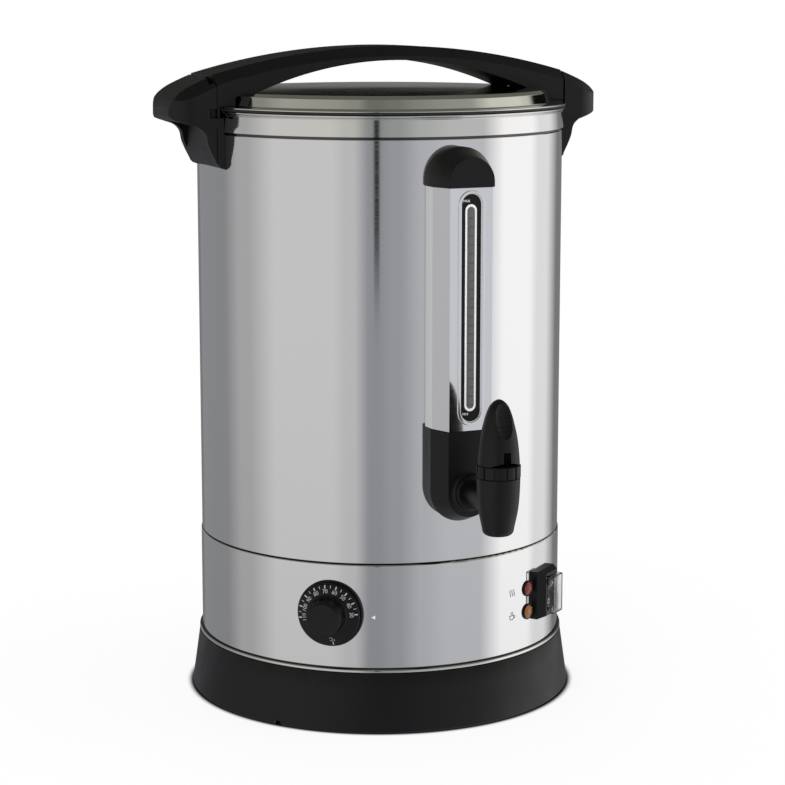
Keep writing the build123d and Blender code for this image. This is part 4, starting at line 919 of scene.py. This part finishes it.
def side_plan(cheek, end_wall):
    """Side handle from above, or its hollow: straight sides and large oval corners."""
    half = SIDE_HALF - cheek
    depth = PLAN_DEPTH - end_wall
    tall = half - PLAN_Y
    outline = [(PLAN_START, -half)] + arc(PLAN_X, -PLAN_Y, depth, -90, 0, 14, tall)
    outline += arc(PLAN_X, PLAN_Y, depth, 0, 90, 14, tall) + [(PLAN_START, half)]
    return prism(outline, *SIDE_Z)


def side_section(lowered):
    """Side handle's outline seen from the front; the lowered one lies under the long bevel."""
    top = through(SIDE_TOP, *SIDE_TOP_WAYS, 4)
    if lowered:
        moved = []
        for i, spot in enumerate(top):
            before, after = Vector(top[max(i - 1, 0)]), Vector(top[min(i + 1, len(top) - 1)])
            way = (after - before).normalized()
            moved.append((spot[0] + way.y * BEVEL_DROP, spot[1] - way.x * BEVEL_DROP))
        top = moved
    return top + SIDE_CORNER + through(SIDE_CHEEK, *SIDE_CHEEK_WAYS, 5) + SIDE_BACK


def side_handle(name, node, side):
    """Bevelled grip over a finger recess between two cheeks, with the back plate on the body."""
    half, inner = SIDE_HALF, SIDE_HALF - BEVEL_IN
    stations = ((-half, True), (-inner, False), (inner, False), (half, True))
    grip = skin([[(x, y, z) for x, z in side_section(lowered)] for y, lowered in stations])
    combine(grip, side_plan(0, 0), "INTERSECT")
    recess = combine(prism(RECESS, -half, half, "Y"), side_plan(CHEEK, CORNER_WALL), "INTERSECT")
    edges = ((-half - 2 * PAST, -half + CHEEK_STEP), (half - CHEEK_STEP, half + 2 * PAST))
    cut(grip, recess, *[block(CHEEK_STEP_X, y, CHEEK_STEP_Z) for y in edges])
    joint = JOINT_R + JOINT_GAP
    low, high = ROOM_Z
    room = [(0, low), (BODY_R, low), (BODY_R, GROOVE_Z[0]), (BAND_R, GROOVE_Z[0]), (BAND_R, LUG_WAY_Z)]
    room += [(joint, LUG_WAY_Z), (joint, high), (0, high)]
    cut(grip, lathe(room, 256), block(*LUG_TURN_WAY), block(*LUG_LIFT_WAY))
    if side < 0:
        grip.data.transform(Matrix.Rotation(pi, 4, "Z"))
    place_form(grip, name, node, HANDLE_EDGE)


SIDE_SCREW_Y, SIDE_SCREW_Z = 13.0, 421.0
SIDE_SCREW_REACH = 7.0  # beyond the inside of the vessel's wall
SIDE_SCREW_R, SIDE_WASHER_R, SIDE_WASHER = 2.0, 5, 1.1
SIDE_SCREW_HEAD = [(0, 2.6), (2.6, 2.4), (4.0, 1.6), (4.6, 0.5), (4.6, 0)]  # radius, height over the washer


def side_screws():
    """Pan-head screws from inside the vessel into the two side handles."""
    wall = sqrt((BODY_R - SHEET) ** 2 - (SIDE_SCREW_Y + SIDE_WASHER_R) ** 2)
    seat = wall - SIDE_WASHER
    outline = [(r, seat - h) for r, h in SIDE_SCREW_HEAD] + [(SIDE_SCREW_R, seat)]
    outline += [(SIDE_SCREW_R, wall + SIDE_SCREW_REACH - 1), (0, wall + SIDE_SCREW_REACH)]
    screws = None
    for side in (-1, 1):
        for y in (-SIDE_SCREW_Y, SIDE_SCREW_Y):
            screw = lathe([(r, side * h) for r, h in outline], 32, (y, SIDE_SCREW_Z), "X")
            screws = combine(screws, screw, "UNION") if screws else screw
    place_form(screws, "grip_screws", "side_screws")


ARCH_HALF, ARCH_FOOT, ARCH_TOP, ARCH_R, ARCH_TURN = 32.0, 440, 498.6, 531.5, 18.0
BOW_Z, FEET_Z = (430, 510), (440, 470)  # below and above the bow, and its two feet
ARCH_STEPS = 36  # at each side of the middle
GRIP_GAP_TOP, GRIP_GAP_R, GRIP_GAP_HALF = 488.2, 285.0, 112.0
GRIP_GAP_WIDE, GRIP_ROOM_WIDE, GRIP_ROOM_Z = 42, 37, (440, 500)
UNDER_BOW = ((-170, 170), (-50, 50), (400, FLANGE_TOP + 0.2))  # all that lies under it, down to the lid
NECK_X, NECK_UNDER, NECK_TOP = (-150, -120), 461, 462  # the underside is the one over the flange
LUG_X = (-160, -120)
LID_CLEAR = 0.4  # of the handle round the lid's flange
LID_DEEP = 8  # how far the lid's room goes under the flange
STEP_CLEAR = 1.4  # round the lid's step
STEP_CORNERS = (4.2, 2.2)  # of that way, below the lid's top


def drum(radius, low, high):
    """Upright cylinder on the vessel's axis."""
    return lathe([(0, low), (radius, low), (radius, high), (0, high)], 256)


def lid_arch():
    """Arched lid handle: bevelled bow over a finger gap, feet cut to the lid, a bayonet lug at each end."""
    centre = ARCH_TOP - ARCH_R
    half, bevelled = ARCH_HALF, ARCH_HALF - BEVEL_IN
    shoulder, over = ARCH_TOP - BEVEL_DROP, UNDER_BOW[2][1]
    joint, flange = JOINT_R - JOINT_GAP, FLANGE_R + LID_CLEAR
    section = [(-half, ARCH_FOOT), (half, ARCH_FOOT), (half, shoulder)]
    section += [(bevelled, ARCH_TOP), (-bevelled, ARCH_TOP), (-half, shoulder)]
    turns = [radians(ARCH_TURN * (i / ARCH_STEPS - 1)) for i in range(2 * ARCH_STEPS + 1)]
    bow = skin([
        [((z - centre) * sin(t), y, centre + (z - centre) * cos(t)) for y, z in section] for t in turns
    ])
    combine(bow, drum(joint, *BOW_Z), "INTERSECT")
    circle = arc(0, GRIP_GAP_TOP - GRIP_GAP_R, GRIP_GAP_R, 0, 360, 240)[:-1]
    gap = prism(circle, -GRIP_GAP_WIDE, GRIP_GAP_WIDE, "Y")
    room = block((-GRIP_GAP_HALF, GRIP_GAP_HALF), (-GRIP_ROOM_WIDE, GRIP_ROOM_WIDE), GRIP_ROOM_Z)
    combine(gap, room, "INTERSECT")
    cut(bow, gap, block(*UNDER_BOW))
    for side in (0, pi):
        neck = block(NECK_X, (-half, LUG_Y[1]), (LUG_Z[0], NECK_TOP))
        combine(neck, drum(joint, *FEET_Z), "INTERSECT")
        lug = combine(block(LUG_X, LUG_Y, LUG_Z), drum(LUG_R, *FEET_Z), "INTERSECT")
        combine(neck, lug, "UNION")
        cut(neck, drum(flange, FEET_Z[0], NECK_UNDER))
        neck.data.transform(Matrix.Rotation(side, 4, "Z"))
        combine(bow, neck, "UNION")
    low, room_r = FLANGE_Z - LID_DEEP, STEP_R + STEP_CLEAR
    lid = [(0, low), (flange, low), (flange, over), (room_r, over), (room_r, LID_TOP - STEP_CORNERS[0])]
    lid.append((room_r - STEP_CLEAR, LID_TOP - STEP_CORNERS[1]))
    lid += [(STEP_R - inside, z) for inside, z in SLOPE]
    lid.append((0, LID_TOP + LID_DOME))
    cut(bow, lathe(lid, 256))
    place_form(bow, "lid_bow", "lid_handle", HANDLE_EDGE)


# ---- printed marks ----
INK_HEIGHT = 0.06  # mm that the printing stands proud
INK_ROOT = -0.04  # mm that it reaches into what carries it


class Marks:
    """Marks drawn flat in millimetres, then laid on a surface as thin closed solids."""

    def __init__(self):
        self.flat = bmesh.new()

    def outline(self, points):
        """Filled outline."""
        self.flat.faces.new([self.flat.verts.new((x, y, 0)) for x, y in points])

    def bar(self, x, y, width, height, turn=0.0):
        """Rectangle by its middle, turned about the sheet's origin by an angle in radians."""
        sides = ((-1, -1), (1, -1), (1, 1), (-1, 1))
        corners = [(x + sx * width / 2, y + sy * height / 2) for sx, sy in sides]
        c, s = cos(turn), sin(turn)
        self.outline([(px * c - py * s, px * s + py * c) for px, py in corners])

    def ribbon(self, first, second):
        """Band between two closed outlines with the same number of points."""
        count = len(first)
        for i in range(count):
            j = (i + 1) % count
            self.outline([first[i], first[j], second[j], second[i]])

    def stroke(self, points, width):
        """Line of a given width through points."""
        sides = []
        for i, (x, y) in enumerate(points):
            (ax, ay), (bx, by) = points[max(i - 1, 0)], points[min(i + 1, len(points) - 1)]
            length = hypot(bx - ax, by - ay)
            nx, ny = -(by - ay) / length * width / 2, (bx - ax) / length * width / 2
            sides.append(((x + nx, y + ny), (x - nx, y - ny)))
        for (a, b), (c, d) in zip(sides, sides[1:]):
            self.outline([a, b, d, c])

    def words(self, text, size, x, y, turn=0.0):
        """Text centred at a place, turned about its own centre."""
        curve = bpy.data.curves.new("words", "FONT")
        curve.body = text
        curve.size = size
        curve.align_x = "CENTER"
        curve.align_y = "CENTER"
        curve.resolution_u = 3
        holder = bpy.data.objects.new("words", curve)
        mesh = bpy.data.meshes.new_from_object(holder)
        mesh.transform(Matrix.Translation((x, y, 0)) @ Matrix.Rotation(turn, 4, "Z"))
        self.flat.from_mesh(mesh)
        bpy.data.objects.remove(holder)

    def order_faces(self):
        """Puts the faces in an order that is the same in each run, by their first three points."""
        self.flat.verts.index_update()
        count = len(self.flat.verts)

        def rank(face):
            first, second, third = sorted(vertex.index for vertex in face.verts)[:3]
            return (first * count + second) * count + third

        self.flat.faces.sort(key=rank)

    def lay(self, name, surface, body, material):
        """Gives the marks their thickness, lays them on the surface and lets them ride on a body."""
        bmesh.ops.remove_doubles(self.flat, verts=self.flat.verts[:], dist=JOIN_GAP)
        proud = bmesh.ops.extrude_face_region(self.flat, geom=self.flat.faces[:], use_keep_orig=True)
        for part in proud["geom"]:
            if isinstance(part, bmesh.types.BMVert):
                part.co.z = INK_HEIGHT - INK_ROOT
        for vertex in self.flat.verts:
            vertex.co = surface(vertex.co.x, vertex.co.y, vertex.co.z + INK_ROOT)
        bmesh.ops.recalc_face_normals(self.flat, faces=self.flat.faces[:])
        self.order_faces()
        mesh = bpy.data.meshes.new(name)
        self.flat.to_mesh(mesh)
        self.flat.free()
        mesh.materials.append(MATERIALS[material])
        piece = add_object(name, mesh)
        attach(piece, body)


def wall_place(azimuth, radius, z):
    """Place on the wall: local X to the right, local Y up, local Z outwards, from mm to metres."""
    a = radians(azimuth)
    turn = Matrix(((cos(a), 0, sin(a)), (sin(a), 0, -cos(a)), (0, 1, 0))).to_4x4()
    shift = Matrix.Translation((radius * sin(a), -radius * cos(a), z))
    return Matrix.Scale(MM, 4) @ shift @ turn


def bent_on(azimuth, radius, z):
    """Surface round the vessel: X runs along the wall."""
    def surface(x, y, out):
        a = radians(azimuth) + x / radius
        return Vector(((radius + out) * sin(a), -(radius + out) * cos(a), z + y)) * MM
    return surface


SHELL_R = 140.7

KNOB_AZIMUTH = -38
KNOB_Z = 88.6
SKIRT_EDGE = (22.7, 5.8)  # radius and height of the skirt's outer and inner edges, mm
SKIRT_INNER = (15.5, 7.4)
DIAL_START = 4.9  # degrees anticlockwise from three o'clock
DIAL_STEP = 11.45  # degrees per five degrees of temperature
DIAL_LOW, DIAL_HIGH = 30, 110
UNIT_TURN = -84.4  # degrees from the start of the scale to the unit
NUMBER_R, NUMBER_SIZE = 18.0, 4.1
TICK_R = 21.35
TEN_TICK, FIVE_TICK, UNIT_TICK = (2.5, 0.9), (2.0, 0.45), (2.5, 0.8)  # length and width, mm


def on_skirt(x, y, out):
    """Surface of the knob's scale skirt."""
    (edge_r, edge_h), (inner_r, inner_h) = SKIRT_EDGE, SKIRT_INNER
    r = hypot(x, y)
    height = edge_h + (edge_r - r) * (inner_h - edge_h) / (edge_r - inner_r)
    return wall_place(KNOB_AZIMUTH, SHELL_R, KNOB_Z) @ Vector((x, y, height + out))


def dial_marks():
    """Temperature scale on the knob's skirt: numbers at the tens and ticks at the fives."""
    spots = []
    for value in range(DIAL_LOW, DIAL_HIGH + 1, 5):
        degrees = DIAL_START + DIAL_STEP * (value - DIAL_LOW) / 5
        spots.append((degrees, TEN_TICK, str(value)) if value % 10 == 0 else (degrees, FIVE_TICK, ""))
    spots.append((DIAL_START + UNIT_TURN, UNIT_TICK, "°C"))
    marks = Marks()
    for degrees, tick, text in spots:
        angle = radians(degrees)
        marks.bar(TICK_R, 0, *tick, angle)
        if text:
            marks.words(text, NUMBER_SIZE, NUMBER_R * cos(angle), NUMBER_R * sin(angle), angle - pi / 2)
    marks.lay("dial_scale", on_skirt, "thermostat_knob", "grey_ink")


INDEX_AZIMUTH, INDEX_Z = -25, 86.3
INDEX_SHAPE = [(-1.5, 0), (1.5, -1.5), (1.5, 1.5)]


def dial_index():
    """Small triangle beside the dial that the scale is read against."""
    marks = Marks()
    marks.outline(INDEX_SHAPE)
    marks.lay("dial_index", bent_on(INDEX_AZIMUTH, SHELL_R, INDEX_Z), "urn", "white_ink")


GAUGE_FACE = 165.7  # front of the black scale plate, mm from the vessel's axis
SLOT = (5.9, 244.5, 389.5)  # width, low and high of the slot, mm
SLOT_LINE = (8.9, 242.6, 391.3)  # outer edge of the white line round the slot
SLOT_LINE_IN = (6.0, 244.45, 389.55)
LEVEL_WORDS = [("MAX", -3.6, 393.6), ("MIN", -3.9, 240.6)]
LEVEL_WORD_SIZE = 2.6


def stadium(width, low, high):
    """Closed outline with round ends."""
    r = width / 2
    return arc(0, high - r, r, 0, 180, 12) + arc(0, low + r, r, 180, 360, 12)


def on_plate(x, y, out):
    """Front of the gauge's scale plate."""
    return Vector((x, -GAUGE_FACE - out, y)) * MM


def gauge_marks():
    """White line round the gauge's slot, with the words for the highest and lowest level."""
    marks = Marks()
    marks.ribbon(stadium(*SLOT_LINE), stadium(*SLOT_LINE_IN))
    for word, x, z in LEVEL_WORDS:
        marks.words(word, LEVEL_WORD_SIZE, x, z)
    marks.lay("gauge_printing", on_plate, "urn", "white_ink")


WINDOW = (5.86, 244.52, 389.48)  # the clear strip that fills the slot
WINDOW_FRONT = 0.1  # how deep its front and back lie behind the plate's front, mm
WINDOW_BACK = 0.9
TICKS = 22
TICK_STEP = 6.4
FIRST_TICK = SLOT[2] - 8.0
TICK = (0.25, 4.6, 0.42)  # middle, length and width of a tick, mm
SMALL_TICKS = [(-1.75, 1.2, 0.26), (-1.55, 1.6, 0.26)] * 2  # the four between two ticks


def in_slot(x, y, out):
    """Front and back of the clear strip."""
    return on_plate(x, y, -WINDOW_FRONT if out > 0 else -WINDOW_BACK)


def on_window(x, y, out):
    """Front of the clear strip, for printing."""
    return on_plate(x, y, out - WINDOW_FRONT)


def gauge_window():
    """Smoked strip that fills the slot, with the level scale printed on it."""
    strip = Marks()
    strip.outline(stadium(*WINDOW))
    strip.lay("gauge_window", in_slot, "urn", "smoked_window")
    scale = Marks()
    for i in range(TICKS):
        z = FIRST_TICK - i * TICK_STEP
        middle, length, width = TICK
        scale.bar(middle, z, length, width)
        if z - TICK_STEP > SLOT[1]:
            for j, (middle, length, width) in enumerate(SMALL_TICKS, 1):
                scale.bar(middle, z - j * TICK_STEP / 5, length, width)
    scale.lay("gauge_scale", on_window, "urn", "dark_ink")


LAMP_SIGN_AZIMUTH = 22.0
LAMP_Z = (93.6, 75.6)
SIGN_LINE = 0.55  # mm
THIN_LINE = SIGN_LINE * 0.8
HEAT_X, HEAT_Z = (-2.2, 0, 2.2), (-2.6, 2.6)
CUP_BOWL = [
    (-2.6, 0.4), (-2.5, -1.2), (-1.9, -2.3), (-0.9, -2.7), (0.4, -2.7), (1.4, -2.3), (2.0, -1.2),
    (2.1, 0.4),
]
CUP_RIM = [(-3.0, 0.4), (2.5, 0.4)]
CUP_EAR = [(2.1, -0.1), (3.2, -0.2), (3.5, -0.9), (3.0, -1.6), (1.8, -1.7)]
STEAM_X, STEAM_Z, STEAM_SWAY = (-1.0, 0.6), (1.1, 3.4), 0.3


def wave(x, low, high, sway=0.45, steps=12):
    """Points of an upright wavy line."""
    return [(x + sway * sin(2 * pi * i / steps), low + (high - low) * i / steps) for i in range(steps + 1)]


def lamp_signs():
    """Small pictograms beside the lamps: rising heat for boiling, a steaming cup for keeping warm."""
    heat = Marks()
    for x in HEAT_X:
        heat.stroke(wave(x, *HEAT_Z), SIGN_LINE)
    heat.lay("heating_sign", bent_on(LAMP_SIGN_AZIMUTH, SHELL_R, LAMP_Z[0]), "urn", "dark_ink")
    cup = Marks()
    cup.stroke(CUP_BOWL, SIGN_LINE)
    cup.stroke(CUP_RIM, SIGN_LINE)
    cup.stroke(CUP_EAR, THIN_LINE)
    for x in STEAM_X:
        cup.stroke(wave(x, *STEAM_Z, STEAM_SWAY), THIN_LINE)
    cup.lay("keep_warm_sign", bent_on(LAMP_SIGN_AZIMUTH, SHELL_R, LAMP_Z[1]), "urn", "dark_ink")


SWITCH_AZIMUTH = 38.8
SWITCH_Z = 86.4
ROCKER_TIP = 12.1  # mm from the rocker's middle to the end of its dished face
ROCKER_FACE = (6.4, 8.6)  # height of that face at its middle and ends
ROCKER_PIVOT = 4.6
ROCKER_TILT = radians(10)
SIGN_Y = 6.8  # distance of the line and the ring from the rocker's middle
LINE_WIDTH, LINE_LENGTH = 0.8, 4.0
RING_OUT, RING_IN = 2.0, 1.3


def on_rocker(x, y, out):
    """Dished face of the rocker, tilted to its off position."""
    low, high = ROCKER_FACE
    sag = high - low
    ball = (ROCKER_TIP ** 2 + sag ** 2) / (2 * sag)
    height = low + ball - sqrt(ball ** 2 - y ** 2) + out - ROCKER_PIVOT
    tilted = Matrix.Rotation(ROCKER_TILT, 4, "X") @ Vector((x, y, height))
    return wall_place(SWITCH_AZIMUTH, SHELL_R, SWITCH_Z) @ (tilted + Vector((0, 0, ROCKER_PIVOT)))


def switch_marks():
    """The usual line and ring on the rocker's two ends."""
    marks = Marks()
    marks.bar(0, SIGN_Y, LINE_WIDTH, LINE_LENGTH)
    marks.ribbon(*[arc(0, -SIGN_Y, r, 0, 360, 24)[:-1] for r in (RING_OUT, RING_IN)])
    marks.lay("switch_marks", on_rocker, "rocker", "white_ink")


add_camera()
add_world()
add_lamps()
add_floor()
dress_nodes()
pot()
lid_cover()
gasket()
gauge_ends()
tap_cup()
tap_bonnet()
tap_lever()
side_handle("side_grip_right", "side_handle_right", 1)
side_handle("side_grip_left", "side_handle_left", -1)
side_screws()
lid_arch()
dial_marks()
dial_index()
gauge_marks()
gauge_window()
lamp_signs()
switch_marks()

bpy.context.scene.view_settings.view_transform = "Standard"
